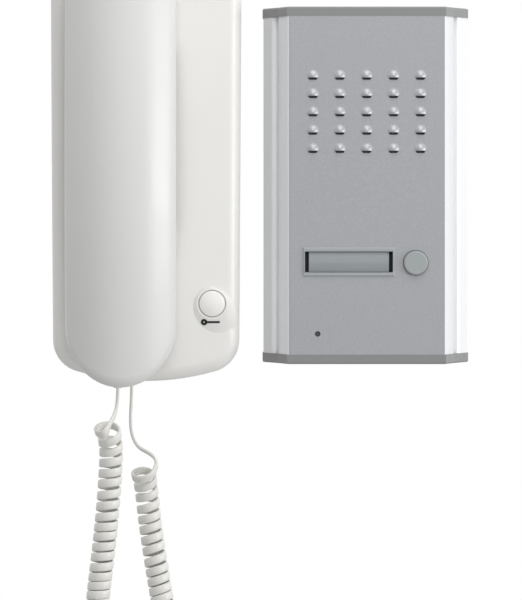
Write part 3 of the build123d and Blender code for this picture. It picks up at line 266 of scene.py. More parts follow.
class IntercomCordSettings(bpy.types.PropertyGroup):
    """The flat cord and its coil."""

    width: length_property("Width", "Width of the flat cord", 4.2)
    thickness: length_property("Thickness", "Thickness of the flat cord", 1.5)
    radius: length_property("Coil radius", "From the coil's middle line to the cord's", 5.0)
    pitch: length_property("Pitch", "Distance from turn to turn where the coil hangs straight", 4.4)
    top_stretch: length_property("Stretch near the ends", "What the pitch gains over the coil's ends", 0.75)
    first_stretch: length_property("Stretch of the first turns", "What the pitch gains there", 1.7)
    flare: share_property("Flare", "Share by which the first and last turns are wider", 0.2)
    uneven: share_property("Unevenness", "Share by which the turns' distances vary", 0.06)
    loop_stretch: length_property("Stretch in the loop", "What the pitch gains round the bottom loop", 1.6)
    colour: colour_property("Cord", "Colour of the cord", (232, 231, 226))


class IntercomScoopSettings(bpy.types.PropertyGroup):
    """The finger scoop in the indoor station's face."""

    middle: length_property("Middle", "Where the scoop is deepest, across the station", -8.0)
    half_width: length_property("Half width", "From the scoop's middle to its outer edge", 29.6)
    roll: length_property("Rolled edge", "Width of the soft edge", 4.0)
    slope: share_property("Slope", "Steepest slope of the scoop's side", 0.1)
    low: length_property("Lower end", "Level of the scoop's lower end", -43.0)
    high: length_property("Upper end", "Level of the scoop's upper end", 56.0)
    run_out: length_property("Run-out", "Length over which each end runs out", 10.0)


class IntercomLouvreSettings(bpy.types.PropertyGroup):
    """The louvres of the door station's plate."""

    rise: length_property("Rise", "Height of a hood over the plate", 1.15)
    softness: FloatProperty(name="Softness", description="How softly a hood meets the plate", default=2.1)
    lean: FloatProperty(name="Lean", description="How much higher a hood is at its slot", default=0.6)


class IntercomColourSettings(bpy.types.PropertyGroup):
    """Colours of what is seen from outside."""

    station: colour_property("Station", "Indoor station's cover", (240, 239, 236))
    # The handset's white is the station's plastic set darker: painted shade, for the light that falls less
    # on the handset.
    handset: colour_property("Handset", "Handset's shells", (226, 226, 224))
    button: colour_property("Release button", "Button that opens the door", (249, 248, 245))
    rail: colour_property("Rails", "Satin metal of the door station's sides", (238, 240, 242))
    cap: colour_property("Caps", "Door station's two end caps", (143, 144, 144))
    panel: colour_property("Panel", "Ground colour of the door station's plate", (175, 177, 181))
    panel_dark: colour_property("Dark specks", "Dark specks of the plate", (168, 170, 175))
    panel_light: colour_property("Light specks", "Light specks of the plate", (182, 184, 188))
    name_frame: colour_property("Name frame", "Frame round the name window", (170, 174, 177))
    window: colour_property("Window", "Grey window over the name card", (160, 166, 170))
    call: colour_property("Call button", "Door station's button", (166, 172, 172))
    key_mark: colour_property("Key mark", "Printed key under the release button", (20, 20, 20))


# Shader groups

COLOUR = "NodeSocketColor"
VALUE = "NodeSocketFloat"
VECTOR = "NodeSocketVector"


def group(name, inputs, outputs):
    """A shader node group, with the sockets that its inputs come from and its outputs go to."""
    tree = bpy.data.node_groups.new(name, "ShaderNodeTree")
    for label, kind, default in inputs:
        socket = tree.interface.new_socket(label, in_out="INPUT", socket_type=kind)
        socket.default_value = default
    for label, kind in outputs:
        tree.interface.new_socket(label, in_out="OUTPUT", socket_type=kind)
    return tree, tree.nodes.new("NodeGroupInput").outputs, tree.nodes.new("NodeGroupOutput").inputs


def feed(tree, socket, value):
    """Links a socket to another one, or sets it to a value."""
    if hasattr(value, "is_output"):
        tree.links.new(value, socket)
    else:
        socket.default_value = value


def add_node(tree, kind, inputs, **settings):
    """A new node with its settings and its inputs."""
    node = tree.nodes.new(kind)
    for name, value in settings.items():
        setattr(node, name, value)
    for place, value in inputs.items():
        feed(tree, node.inputs[place], value)
    return node


def object_place(tree):
    """Where a point lies on its object."""
    return tree.nodes.new("ShaderNodeTexCoord").outputs["Object"]


def noise(tree, place, scale, detail, roughness=0.5):
    """A noise's value."""
    inputs = {"Vector": place, "Scale": scale, "Detail": detail, "Roughness": roughness}
    return add_node(tree, "ShaderNodeTexNoise", inputs).outputs["Fac"]


def ranged(tree, source, low, high, new_low=0.0, new_high=1.0):
    """A value remapped from one range to another."""
    inputs = {"Value": source, "From Min": low, "From Max": high, "To Min": new_low, "To Max": new_high}
    return add_node(tree, "ShaderNodeMapRange", inputs).outputs["Result"]


def blended(tree, factor, first, second):
    """Two colours mixed by a factor."""
    inputs = {"Factor": factor, 6: first, 7: second}
    return add_node(tree, "ShaderNodeMix", inputs, data_type="RGBA").outputs[2]


def multiplied(tree, value, factor, added):
    """A value times a factor, with another value added."""
    inputs = {0: value, 1: factor, 2: added}
    return add_node(tree, "ShaderNodeMath", inputs, operation="MULTIPLY_ADD").outputs["Value"]


def bumped(tree, height, strength, distance):
    """A normal that follows a height."""
    inputs = {"Height": height, "Strength": strength, "Distance": distance}
    return add_node(tree, "ShaderNodeBump", inputs).outputs["Normal"]


def make_moulded_group():
    """Fine moulded grain: a normal, a roughness that drifts a little, and a faint shift of colour."""
    tree, given, out = group(
        "Moulded surface",
        [
            ("Colour", COLOUR, (0.8, 0.8, 0.8, 1)),
            ("Shade", COLOUR, (0.75, 0.75, 0.73, 1)),
            ("Roughness", VALUE, 0.35),
            ("Drift", VALUE, 0.05),
            ("Grain", VALUE, 1600.0),
            ("Depth", VALUE, 0.1),
        ],
        [("Colour", COLOUR), ("Roughness", VALUE), ("Normal", VECTOR)],
    )
    place = object_place(tree)
    grain = noise(tree, place, given["Grain"], 3.0, 0.6)
    cloud = noise(tree, place, 22.0, 4.0, 0.55)
    drift = ranged(tree, cloud, 0.3, 0.7, -1.0, 1.0)
    cast = ranged(tree, cloud, 0.45, 0.8, 0.0, 0.5)
    feed(tree, out["Colour"], blended(tree, cast, given["Colour"], given["Shade"]))
    feed(tree, out["Roughness"], multiplied(tree, drift, given["Drift"], given["Roughness"]))
    feed(tree, out["Normal"], bumped(tree, grain, given["Depth"], 0.0002))
    return tree


def make_drawn_group():
    """Drawn or rolled metal: fine streaks along one axis, in the normal and the roughness."""
    tree, given, out = group(
        "Drawn metal",
        [("Stretch", VECTOR, (1.0, 1.0, 0.05)), ("Roughness", VALUE, 0.35), ("Depth", VALUE, 0.15)],
        [("Roughness", VALUE), ("Normal", VECTOR)],
    )
    inputs = {0: object_place(tree), 1: given["Stretch"]}
    stretched = add_node(tree, "ShaderNodeVectorMath", inputs, operation="MULTIPLY")
    streaks = noise(tree, stretched.outputs["Vector"], 3200.0, 3.0)
    feed(tree, out["Roughness"], multiplied(tree, streaks, 0.12, given["Roughness"]))
    feed(tree, out["Normal"], bumped(tree, streaks, given["Depth"], 0.0001))
    return tree


def shared_group(name, make):
    """The shader group of that name, made the first time that a material asks for it."""
    return bpy.data.node_groups.get(name) or make()


# Materials


def new_material(name, values):
    """A new material with its tree and its shader, whose own sockets are set to the values."""
    material = bpy.data.materials.new(name)
    material.use_nodes = True
    shader = material.node_tree.nodes["Principled BSDF"]
    for label, value in values.items():
        shader.inputs[label].default_value = value
    return material, material.node_tree, shader


def place_group(tree, shader, shared, inputs):
    """Places a shared group in a material and links what it puts out to the shader."""
    node = add_node(tree, "ShaderNodeGroup", inputs, node_tree=shared)
    targets = {"Colour": "Base Color", "Roughness": "Roughness", "Normal": "Normal"}
    for output in node.outputs:
        tree.links.new(output, shader.inputs[targets[output.name]])


def shaded(colour, share):
    """A colour with its lightness scaled, with alpha."""
    return [c * share for c in colour] + [1.0]


def moulded_plastic(name, colour, roughness=0.34, grain=1600.0, depth=0.06, coat=0.0, specular=0.5):
    """Moulded plastic with its fine grain."""
    values = {"Coat Weight": coat, "Coat Roughness": 0.12, "Specular IOR Level": specular}
    material, tree, shader = new_material(name, values)
    inputs = {"Colour": shaded(colour, 1.0), "Shade": shaded(colour, 0.97)}
    inputs.update({"Roughness": roughness, "Drift": 0.04, "Grain": grain, "Depth": depth})
    place_group(tree, shader, shared_group("Moulded surface", make_moulded_group), inputs)
    return material


def soft_rubber(name, colour, roughness=0.55):
    """Soft moulded rubber."""
    return moulded_plastic(name, colour, roughness, grain=900.0, depth=0.12, specular=0.35)


def drawn_metal(name, colour, roughness=0.28, stretch=(1.0, 1.0, 0.05), metallic=1.0):
    """Plated or bare metal with its drawing marks."""
    values = {"Base Color": shaded(colour, 1.0), "Metallic": metallic}
    material, tree, shader = new_material(name, values)
    inputs = {"Stretch": stretch, "Roughness": roughness, "Depth": 0.12}
    place_group(tree, shader, shared_group("Drawn metal", make_drawn_group), inputs)
    return material


def speckled_paint(name, ground, dark, light):
    """The door station's plate: a grey ground with fine dark and light specks."""
    material, tree, shader = new_material(name, {"Roughness": 0.4, "Metallic": 0.35})
    place = object_place(tree)
    dark_specks = noise(tree, place, 1500.0, 2.0, 0.7)
    light_specks = noise(tree, place, 1150.0, 2.0, 0.7)
    specked = blended(tree, ranged(tree, dark_specks, 0.48, 0.66), shaded(ground, 1.0), shaded(dark, 1.0))
    specked = blended(tree, ranged(tree, light_specks, 0.50, 0.70), specked, shaded(light, 1.0))
    feed(tree, shader.inputs["Base Color"], specked)
    feed(tree, shader.inputs["Normal"], bumped(tree, dark_specks, 0.08, 0.0002))
    return material


def circuit_laminate(name):
    """Green lacquered board with its copper tracks showing through."""
    material, tree, shader = new_material(name, {"Roughness": 0.3})
    inputs = {"Vector": object_place(tree), "Scale": 210.0}
    tracks = add_node(tree, "ShaderNodeTexVoronoi", inputs, distance="CHEBYCHEV", feature="F1")
    edge = ranged(tree, tracks.outputs["Distance"], 0.42, 0.46)
    lacquer = blended(tree, edge, (0.012, 0.085, 0.030, 1), (0.030, 0.170, 0.055, 1))
    feed(tree, shader.inputs["Base Color"], lacquer)
    return material


def woven_cloth(name, colour):
    """Thin woven cloth or paper."""
    material, tree, shader = new_material(name, {"Roughness": 0.9, "Sheen Weight": 0.2})
    inputs = {"Vector": object_place(tree), "Scale": 2600.0}
    inputs.update({"Color1": shaded(colour, 1.0), "Color2": shaded(colour, 0.5)})
    weave = add_node(tree, "ShaderNodeTexChecker", inputs)
    feed(tree, shader.inputs["Base Color"], weave.outputs["Color"])
    return material


def banded_resistor(name):
    """Tan lacquer with the coloured rings that every such resistor has."""
    material, tree, shader = new_material(name, {"Roughness": 0.25})
    parted = add_node(tree, "ShaderNodeSeparateXYZ", {"Vector": object_place(tree)})
    wave = add_node(tree, "ShaderNodeMath", {0: parted.outputs["X"], 1: 0.0009}, operation="PINGPONG")
    ring = ranged(tree, wave.outputs["Value"], 0.00055, 0.0006)
    lacquer = blended(tree, ring, (0.48, 0.33, 0.17, 1), (0.16, 0.03, 0.02, 1))
    feed(tree, shader.inputs["Base Color"], lacquer)
    return material


def smoked_window(name, colour):
    """Grey see-through plastic over the name card."""
    values = {"Base Color": shaded(colour, 1.0), "Roughness": 0.16, "Alpha": 0.93}
    values.update({"Coat Weight": 0.4, "Coat Roughness": 0.05})
    return new_material(name, values)[0]


def finish_nodes(material, *nodes):
    """Gives CAD nodes a material."""
    for name in nodes:
        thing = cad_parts[name]
        thing.data.materials.clear()
        thing.data.materials.append(material)


# Cord


def spline_points(name, control_points):
    """Points read from a smooth spline that has the route's points as its control points."""
    curve = bpy.data.curves.new(name, "CURVE")
    curve.dimensions = "3D"
    curve.resolution_u = 24
    spline = curve.splines.new("NURBS")
    spline.points.add(len(control_points) - 1)
    for point, place in zip(spline.points, control_points):
        point.co = (*place, 1.0)
    spline.order_u = 3
    spline.use_endpoint_u = True
    holder = placed(name, curve)
    bpy.context.view_layer.update()
    mesh = bpy.data.meshes.new_from_object(holder)
    points = [v.co.copy() for v in mesh.vertices]
    bpy.data.objects.remove(holder)
    bpy.data.curves.remove(curve)
    bpy.data.meshes.remove(mesh)
    return points


def walked(table, wanted, at):
    """Where a value lies in a rising table, as an entry and the share of the way on."""
    while at < len(table) - 2 and table[at + 1] < wanted:
        at += 1
    return at, (wanted - table[at]) / max(table[at + 1] - table[at], 1e-12)


def even_points(points, step):
    """The same line with points at even steps along it."""
    reach = [0.0]
    for a, b in zip(points, points[1:]):
        reach.append(reach[-1] + (b - a).length)
    count = max(2, round(reach[-1] / step))
    found = []
    at = 0
    for i in range(count + 1):
        at, share = walked(reach, reach[-1] * i / count, at)
        found.append(points[at].lerp(points[at + 1], share))
    return found


def line_ways(points):
    """Direction of a line at each of its points."""
    ways = []
    for i in range(len(points)):
        before = points[max(i - 1, 0)]
        after = points[min(i + 1, len(points) - 1)]
        ways.append((after - before).normalized())
    return ways


def carried(normal, ways):
    """A normal carried along a line without twisting."""
    found = []
    for way in ways:
        normal = (normal - way * normal.dot(way)).normalized()
        found.append(normal.copy())
    return found


def angle_about(way, normal, direction):
    """Angle round a line's direction from its normal to a given direction."""
    side = way.cross(normal)
    return math.atan2(direction.dot(side), direction.dot(normal))


def coil_line(cord):
    """The coil: its points, and the width direction of the flat cord at each of them."""
    step = 0.1 * MM
    axis = even_points(spline_points("coil axis", vectors(COIL_ROUTE)), step)
    ways = line_ways(axis)
    normals = carried(Vector((1, 0, 0)), ways)
    straight_level = -230 * MM
    loop_level = -285 * MM
    stretched_end = 30 * MM
    stretch_fade = 70 * MM
    first_fade = 15 * MM
    flare_fade = 4 * MM
    waves = ((0.41, 0.0), (0.17, 1.0))
    handset_way = Vector((-0.55, -0.84, 0))
    station_way = Vector((0.97, -0.24, 0))
    turned = [0.0]
    for i in range(1, len(axis)):
        from_end = min(i, len(axis) - 1 - i) * step
        sag = ease((straight_level - axis[i].z) / (straight_level - loop_level))
        near = 1 - ease((from_end - stretched_end) / stretch_fade)
        first = math.exp(-from_end / first_fade)
        pitch = cord.pitch + cord.top_stretch * near + cord.first_stretch * first + cord.loop_stretch * sag
        pitch *= 1 + cord.uneven * sum(math.sin(turned[-1] * rate + shift) for rate, shift in waves)
        turned.append(turned[-1] + 2 * math.pi * step / pitch)
    start = angle_about(ways[0], normals[0], handset_way)
    wanted = angle_about(ways[-1], normals[-1], station_way)
    turns = round((start + turned[-1] - wanted) / (2 * math.pi))
    total = wanted + turns * 2 * math.pi - start
    points = []
    widths = []
    spacing = math.radians(9)
    at = 0
    count = int(total / spacing)
    for i in range(count + 1):
        angle = total * i / count
        at, share = walked(turned, angle / total * turned[-1], at)
        centre = axis[at].lerp(axis[at + 1], share)
        side = ways[at].cross(normals[at])
        phase = start + angle
        out = normals[at] * math.cos(phase) + side * math.sin(phase)
        from_end = min(at, len(axis) - 1 - at) * step
        points.append(centre + out * cord.radius * (1 + cord.flare * math.exp(-from_end / flare_fade)))
        widths.append(ways[at].copy())
    return points, widths


def tail_line(route, coil_end, coil_way, lead):
    """A tail that runs from its strain relief and ends tangent to the coil."""
    controls = vectors(route) + [coil_end - coil_way * lead, coil_end]
    return even_points(spline_points("cord tail", controls), step=0.5 * MM)


def tail_widths(points, coil_width, outlet_width):
    """Width directions of a tail that ends at the coil: it twists near the coil only."""
    twisted_share = 0.3
    backwards = list(reversed(points))
    ways = line_ways(backwards)
    carried_widths = carried(coil_width, ways)
    wanted = (outlet_width - ways[-1] * outlet_width.dot(ways[-1])).normalized()
    if wanted.dot(carried_widths[-1]) < 0:
        wanted = -wanted
    twist = angle_about(ways[-1], carried_widths[-1], wanted)
    found = []
    for i, (way, width) in enumerate(zip(ways, carried_widths)):
        turn = Matrix.Rotation(twist * ease(i / (len(ways) - 1) / twisted_share), 3, way)
        found.append(turn @ width)
    return list(reversed(found))


def ribbon_section(width, thickness):
    """Outline of the flat cord's section, with round edges."""
    radius = thickness / 2
    half = width / 2 - radius
    per_edge = 4
    outline = []
    for side in (1, -1):
        for i in range(per_edge + 1):
            angle = math.pi * (i / per_edge - 0.5)
            outline.append((side * (half + radius * math.cos(angle)), side * radius * math.sin(angle)))
    return outline


def ribbon_mesh(name, points, widths, outline):
    """A flat cord swept along a line."""
    ways = line_ways(points)
    vertices = []
    faces = []
    around = len(outline)
    for point, way, width in zip(points, ways, widths):
        width = (width - way * width.dot(way)).normalized()
        thick = way.cross(width)
        for across, up in outline:
            vertices.append(point + width * across + thick * up)
    for i in range(len(points) - 1):
        for k, after in neighbours(around):
            a = i * around + k
            b = i * around + after
            faces.append((a, b, b + around, a + around))
    faces.append(tuple(range(around - 1, -1, -1)))
    last = (len(points) - 1) * around
    faces.append(tuple(range(last, last + around)))
    return mesh_object(name, vertices, faces)


class INTERCOM_OT_cord(bpy.types.Operator):
    """Makes the curly cord with its two tails, and hangs it between the handset and the station"""

    bl_idname = "intercom.cord"
    bl_label = "Curly cord"

    def execute(self, context):
        cord = context.scene.intercom_cord
        coil, coil_widths = coil_line(cord)
        coil_ways = line_ways(coil)
        lead = 3.0 * MM
        handset_tail = tail_line(HANDSET_TAIL, coil[0], coil_ways[0], lead)
        base_tail = tail_line(BASE_TAIL, coil[-1], -coil_ways[-1], lead)
        slot = Vector((0, 1, 0))
        handset_widths = tail_widths(handset_tail, coil_widths[0], slot)
        base_widths = tail_widths(base_tail, coil_widths[-1], slot)
        points = handset_tail[:-1] + coil + list(reversed(base_tail))[1:]
        widths = handset_widths[:-1] + coil_widths + list(reversed(base_widths))[1:]
        for i in range(1, len(widths)):
            if widths[i].dot(widths[i - 1]) < 0:
                widths[i] = -widths[i]
        outline = ribbon_section(cord.width, cord.thickness)
        ribbon = ribbon_mesh("curly_cord_ribbon", points, widths, outline)
        ribbon.data.materials.append(moulded_plastic("cord sheath", cord.colour, 0.38, depth=0.04))
        length = sum((b - a).length for a, b in zip(points, points[1:]))
        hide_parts("handset_cord_tail", "curly_cord", "base_cord_tail")
        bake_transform(ribbon)
        self.report({"INFO"}, f"Cord length {length:.3f} m")
        return {"FINISHED"}


# Stage


class INTERCOM_OT_stage(bpy.types.Operator):
    """Sets up the camera, the lamps, the room's light and the floor"""

    bl_idname = "intercom.stage"
    bl_label = "Camera, light and floor"

    def execute(self, context):
        stage = context.scene.intercom_stage
        scene = context.scene
        scene.view_settings.view_transform = "Standard"
        data = bpy.data.cameras.new("camera")
        data.sensor_fit = "VERTICAL"
        data.sensor_height = 24.0
        data.lens = data.sensor_height * stage.distance / stage.frame_height
        data.shift_y = -stage.drop
        data.clip_start = 0.05
        camera = placed("camera", data)
        camera.location = (stage.camera_x, -stage.distance, stage.camera_z)
        camera.rotation_euler = (math.pi / 2, 0, 0)
        scene.camera = camera
        self.lamp("key light", (1.95, -0.95, -0.1), 0.9, stage.key_power)
        self.lamp("side light", (1.5, 0.4, 0.05), 1.4, stage.side_power)
        self.lamp("left light", (-1.5, 0.5, 0.05), 1.4, stage.left_power)
        self.lamp("top light", (0.2, -0.5, 0.8), 0.6, stage.top_power)
        self.room(scene, stage.room)
        self.floor(stage.floor_colour)
        return {"FINISHED"}

    def lamp(self, name, place, size, power):
        """A square lamp that faces the middle of the object."""
        data = bpy.data.lights.new(name, "AREA")
        data.size = size
        data.energy = power
        lamp = placed(name, data)
        lamp.location = place
        target = Vector((0.055, 0, -0.06))
        lamp.rotation_euler = (target - Vector(place)).to_track_quat("-Z", "Y").to_euler()

    def room(self, scene, strength):
        """Soft light from all around, with a plain white background behind the object."""
        world = bpy.data.worlds.new("room")
        world.use_nodes = True
        scene.world = world
        tree = world.node_tree
        light = tree.nodes["Background"]
        light.inputs["Color"].default_value = (1, 1, 1, 1)
        light.inputs["Strength"].default_value = strength
        white = add_node(tree, "ShaderNodeBackground", {"Color": (1, 1, 1, 1), "Strength": 1.0})
        path = tree.nodes.new("ShaderNodeLightPath")
        seen = path.outputs["Is Camera Ray"]
        for label in ("Is Glossy Ray", "Is Transmission Ray"):
            either = add_node(tree, "ShaderNodeMath", {0: seen, 1: path.outputs[label]}, operation="MAXIMUM")
            seen = either.outputs["Value"]
        inputs = {"Fac": seen, 1: light.outputs["Background"], 2: white.outputs["Background"]}
        chosen = add_node(tree, "ShaderNodeMixShader", inputs)
        tree.links.new(chosen.outputs["Shader"], tree.nodes["World Output"].inputs["Surface"])

    def floor(self, colour):
        """A plain pale floor below the cord's loop."""
        half = 3.0
        behind = 0.85
        level = CAD_BOX[0][2] - 0.02
        corners = [(-half, -half), (half, -half), (half, behind), (-half, behind)]
        floor = mesh_object("floor", [(x, y, level) for x, y in corners], [(0, 1, 2, 3)], smooth=False)
        values = {"Base Color": shaded(colour, 1.0), "Roughness": 0.8}
        floor.data.materials.append(new_material("floor", values)[0])


# Pieces, each with its finish


class INTERCOM_OT_station(bpy.types.Operator):
    """Finishes the indoor station's cover, wall plate and release button"""

    bl_idname = "intercom.station"
    bl_label = "Indoor station"

    def execute(self, context):
        colours = context.scene.intercom_colours
        shell = moulded_plastic("station shell", colours.station, 0.36)
        finish_nodes(shell, "wall_plate")
        cover = self.cover(context.scene.intercom_scoop)
        cover.data.materials.append(shell)
        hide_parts("station_cover")
        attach(cover, "stations")
        finish_nodes(moulded_plastic("release button", colours.button, 0.3), "release_button")
        bushing = soft_rubber("cord bushing", colours.station)
        finish_nodes(bushing, "base_strain_relief", "handset_strain_relief")
        return {"FINISHED"}

    def face_depth(self, x, z):
        """Depth of the station's crowned face, before the scoop."""
        crest = 30.0 * MM
        across = 240.0 * MM
        along = 2400.0 * MM
        return crest - across + math.sqrt(across**2 - x**2) - along + math.sqrt(along**2 - z**2)

    def scoop_depth(self, scoop, x, z):
        """How far the scoop lies under the face."""
        inside = scoop.half_width - abs(x - scoop.middle)
        if inside <= 0:
            return 0.0
        rolled = min(inside, scoop.roll)
        depth = scoop.slope * rolled**2 / (2 * scoop.roll)
        hollow = scoop.half_width - scoop.roll
        rest = max(inside - scoop.roll, 0.0)
        depth += scoop.slope * (rest - rest**2 / (2 * hollow))
        ends = ease((z - scoop.low) / scoop.run_out) * ease((scoop.high - z) / scoop.run_out)
        return depth * ends

    def worked_depth(self, scoop, x, z):
        """Depth of the face with the scoop in it."""
        return self.face_depth(x, z) - self.scoop_depth(scoop, x, z)

    def cut(self, build, faces, point, normal):
        """Faces cut along a plane."""
        parts = set(faces)
        for face in faces:
            parts.update(face.edges)
            parts.update(face.verts)
        done = bmesh.ops.bisect_plane(build, geom=list(parts), dist=1e-7, plane_co=point, plane_no=normal)
        return [part for part in done["geom"] if isinstance(part, bmesh.types.BMFace)]

    def cut_grid(self, build, faces, columns, rows):
        """Faces cut along upright and level planes."""
        for x in columns:
            faces = self.cut(build, faces, (x, 0, 0), (1, 0, 0))
        for z in rows:
            faces = self.cut(build, faces, (0, 0, z), (0, 0, 1))
        return faces

    def front_faces(self, build, left, right, foot, head):
        """Faces of the crowned front that reach into a rectangle."""
        front = -24 * MM
        facing = -0.7
        found = []
        for face in build.faces:
            xs, ys, zs = zip(*(v.co for v in face.verts))
            inside = max(xs) > left and min(xs) < right and max(zs) > foot and min(zs) < head
            if inside and face.normal.y < facing and max(ys) < front:
                found.append(face)
        return found

    def cover(self, scoop):
        """The cover with its scoop worked softly into the face."""
        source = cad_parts["station_cover"].data
        given = {}
        for loop, normal in zip(source.loops, source.corner_normals):
            spot = self.spot(source.vertices[loop.vertex_index].co)
            given.setdefault(spot, []).append(normal.vector.copy())
        build = bmesh.new()
        corners = [build.verts.new(v.co) for v in source.vertices]
        for face in source.polygons:
            build.faces.new([corners[i] for i in face.vertices])
        bmesh.ops.remove_doubles(build, verts=build.verts, dist=1e-7)
        build.normal_update()
        side_margin = 0.4 * MM
        end_margin = 1.0 * MM
        left = scoop.middle - scoop.half_width - side_margin
        right = scoop.middle + scoop.half_width + side_margin
        foot = scoop.low - end_margin
        head = scoop.high + end_margin
        column_width = 1.1 * MM
        row_height = 2.0 * MM
        faces = self.front_faces(build, left, right, foot, head)
        faces = self.cut_grid(build, faces, (left, right), (foot, head))
        middles = [(f, f.calc_center_median()) for f in faces]
        faces = [f for f, c in middles if left < c.x < right and foot < c.z < head]
        across = round((right - left) / column_width)
        along = round((head - foot) / row_height)
        columns = [mix(left, right, i / across) for i in range(1, across)]
        rows = [mix(foot, head, i / along) for i in range(1, along)]
        faces = self.cut_grid(build, faces, columns, rows)
        worked = {v for f in faces for v in f.verts}
        for vertex in worked:
            vertex.co.y = -self.worked_depth(scoop, vertex.co.x, vertex.co.z)
        places = {self.spot(v.co) for v in worked}
        bmesh.ops.triangulate(build, faces=[f for f in build.faces if len(f.verts) > 3])
        cover = built_object("station_cover_moulding", build)
        mesh = cover.data
        mesh.shade_smooth()
        slope_step = 0.05 * MM
        normals = []
        for face in mesh.polygons:
            for i in face.vertices:
                place = mesh.vertices[i].co
                spot = self.spot(place)
                if spot in places:
                    normals.append(raised_normal(self.worked_depth, scoop, place.x, place.z, slope_step))
                else:
                    normals.append(max(given.get(spot, [face.normal]), key=face.normal.dot))
        mesh.normals_split_custom_set(normals)
        return cover

    def spot(self, place):
        """A place rounded so that equal places match."""
        grid = 0.002 * MM
        return tuple(round(value / grid) for value in place)


class INTERCOM_OT_springs(bpy.types.Operator):
    """Makes the springs under the two push buttons"""

    bl_idname = "intercom.springs"
    bl_label = "Button springs"

    def execute(self, context):
        wire = drawn_metal("button spring wire", SPRING_STEEL, stretch=ALONG_WIRE)
        springs = (("release_spring", "release_press", 2.0), ("call_spring", "call_press", 1.5))
        for node, joint, travel in springs:
            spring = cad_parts[node].copy()
            spring.data = spring.data.copy()
            spring.name = f"{node}_wire"
            spring.parent = None
            spring.matrix_world = Matrix.Identity(4)
            spring.data.materials.clear()
            spring.data.materials.append(wire)
            context.scene.collection.objects.link(spring)
            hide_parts(node)
            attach(spring, "stations")
            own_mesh(spring)
        return {"FINISHED"}


class INTERCOM_OT_handset(bpy.types.Operator):
    """Finishes the handset's two shells"""

    bl_idname = "intercom.handset"
    bl_label = "Handset"

    def execute(self, context):
        colours = context.scene.intercom_colours
        # The handset shell is the station's plastic painted darker: painted shade.
        shell = moulded_plastic("handset shell", colours.handset, 0.33)
        finish_nodes(shell, "handset_front_shell", "handset_back_shell")
        return {"FINISHED"}


class INTERCOM_OT_door_station(bpy.types.Operator):
    """Finishes the door station's caps, plate, name window and call button"""

    bl_idname = "intercom.door_station"
    bl_label = "Door station"

    def execute(self, context):
        colours = context.scene.intercom_colours
        finish_nodes(moulded_plastic("door cap", colours.cap, 0.42), "door_top_cap", "door_bottom_cap")
        plate = speckled_paint("speckled plate", colours.panel, colours.panel_dark, colours.panel_light)
        pressing = self.front_plate(context.scene.intercom_louvre)
        pressing.data.materials.append(plate)
        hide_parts("door_front_plate")
        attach(pressing, "stations")
        finish_nodes(moulded_plastic("name frame", colours.name_frame, 0.34, coat=0.2), "name_frame")
        finish_nodes(smoked_window("name window", colours.window), "name_window")
        finish_nodes(moulded_plastic("name card", linear((52, 54, 56)), 0.6), "name_card")
        finish_nodes(moulded_plastic("call button", colours.call, 0.3, coat=0.2), "call_button")
        return {"FINISHED"}

    def plain_rise(self, x, z):
        """Height of a plain round hood over the plate, in millimetres from its middle."""
        rise = 1.5
        ball = (LOUVRE_RADIUS**2 + rise**2) / (2 * rise)
        return max(math.sqrt(max(ball**2 - x**2 - z**2, 0.0)) - ball + rise, 0.0)

    def pressed_rise(self, louvre, x, z):
        """Height of a pressed hood, which runs softly into the plate and stands highest at its slot."""
        share = max(1 - (x**2 + z**2) / LOUVRE_RADIUS**2, 0.0)
        return louvre.rise / MM * share**louvre.softness * (1 - louvre.lean * z / LOUVRE_RADIUS)

    def from_louvre(self, place):
        """Where a place lies from the middle of the nearest louvre, across and up, in millimetres."""
        found = []
        for at, middle, pitch in zip((place.x, place.z), (DOOR_MIDDLE_X, LOUVRE_MIDDLE_Z), LOUVRE_PITCH):
            lines = [middle + pitch * (i - LOUVRE_COUNT // 2) for i in range(LOUVRE_COUNT)]
            found.append(at / MM - min(lines, key=lambda line: abs(line - at / MM)))
        return found

    def on_hood(self, place, from_middle):
        """Whether a place of the plain plate lies on the outside of a hood."""
        slack = 0.05
        off = abs(-place.y / MM - PLATE_DEPTH - self.plain_rise(*from_middle))
        return off < slack and math.hypot(*from_middle) < LOUVRE_RADIUS + 0.1

    def front_plate(self, louvre):
        """The plate with its louvres pressed to their real form."""
        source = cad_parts["door_front_plate"].data
        normals = [n.vector.copy() for n in source.corner_normals]
        mesh = source.copy()
        mesh.name = "door_front_plate_pressing"
        mesh.materials.clear()
        places = [self.from_louvre(v.co) for v in source.vertices]
        back = -30.6
        facing = -0.5
        reach = LOUVRE_RADIUS + 0.01
        slope_step = 0.02
        for vertex, (x, z) in zip(mesh.vertices, places):
            if math.hypot(x, z) < reach and vertex.co.y / MM < back:
                vertex.co.y -= (self.pressed_rise(louvre, x, z) - self.plain_rise(x, z)) * MM
        for face in source.polygons:
            corners = [(source.vertices[i].co, places[i]) for i in face.vertices]
            if face.normal.y < facing and all(self.on_hood(*corner) for corner in corners):
                for loop in face.loop_indices:
                    x, z = places[source.loops[loop].vertex_index]
                    normals[loop] = raised_normal(self.pressed_rise, louvre, x, z, slope_step)
        mesh.normals_split_custom_set(normals)
        return placed(mesh.name, mesh)


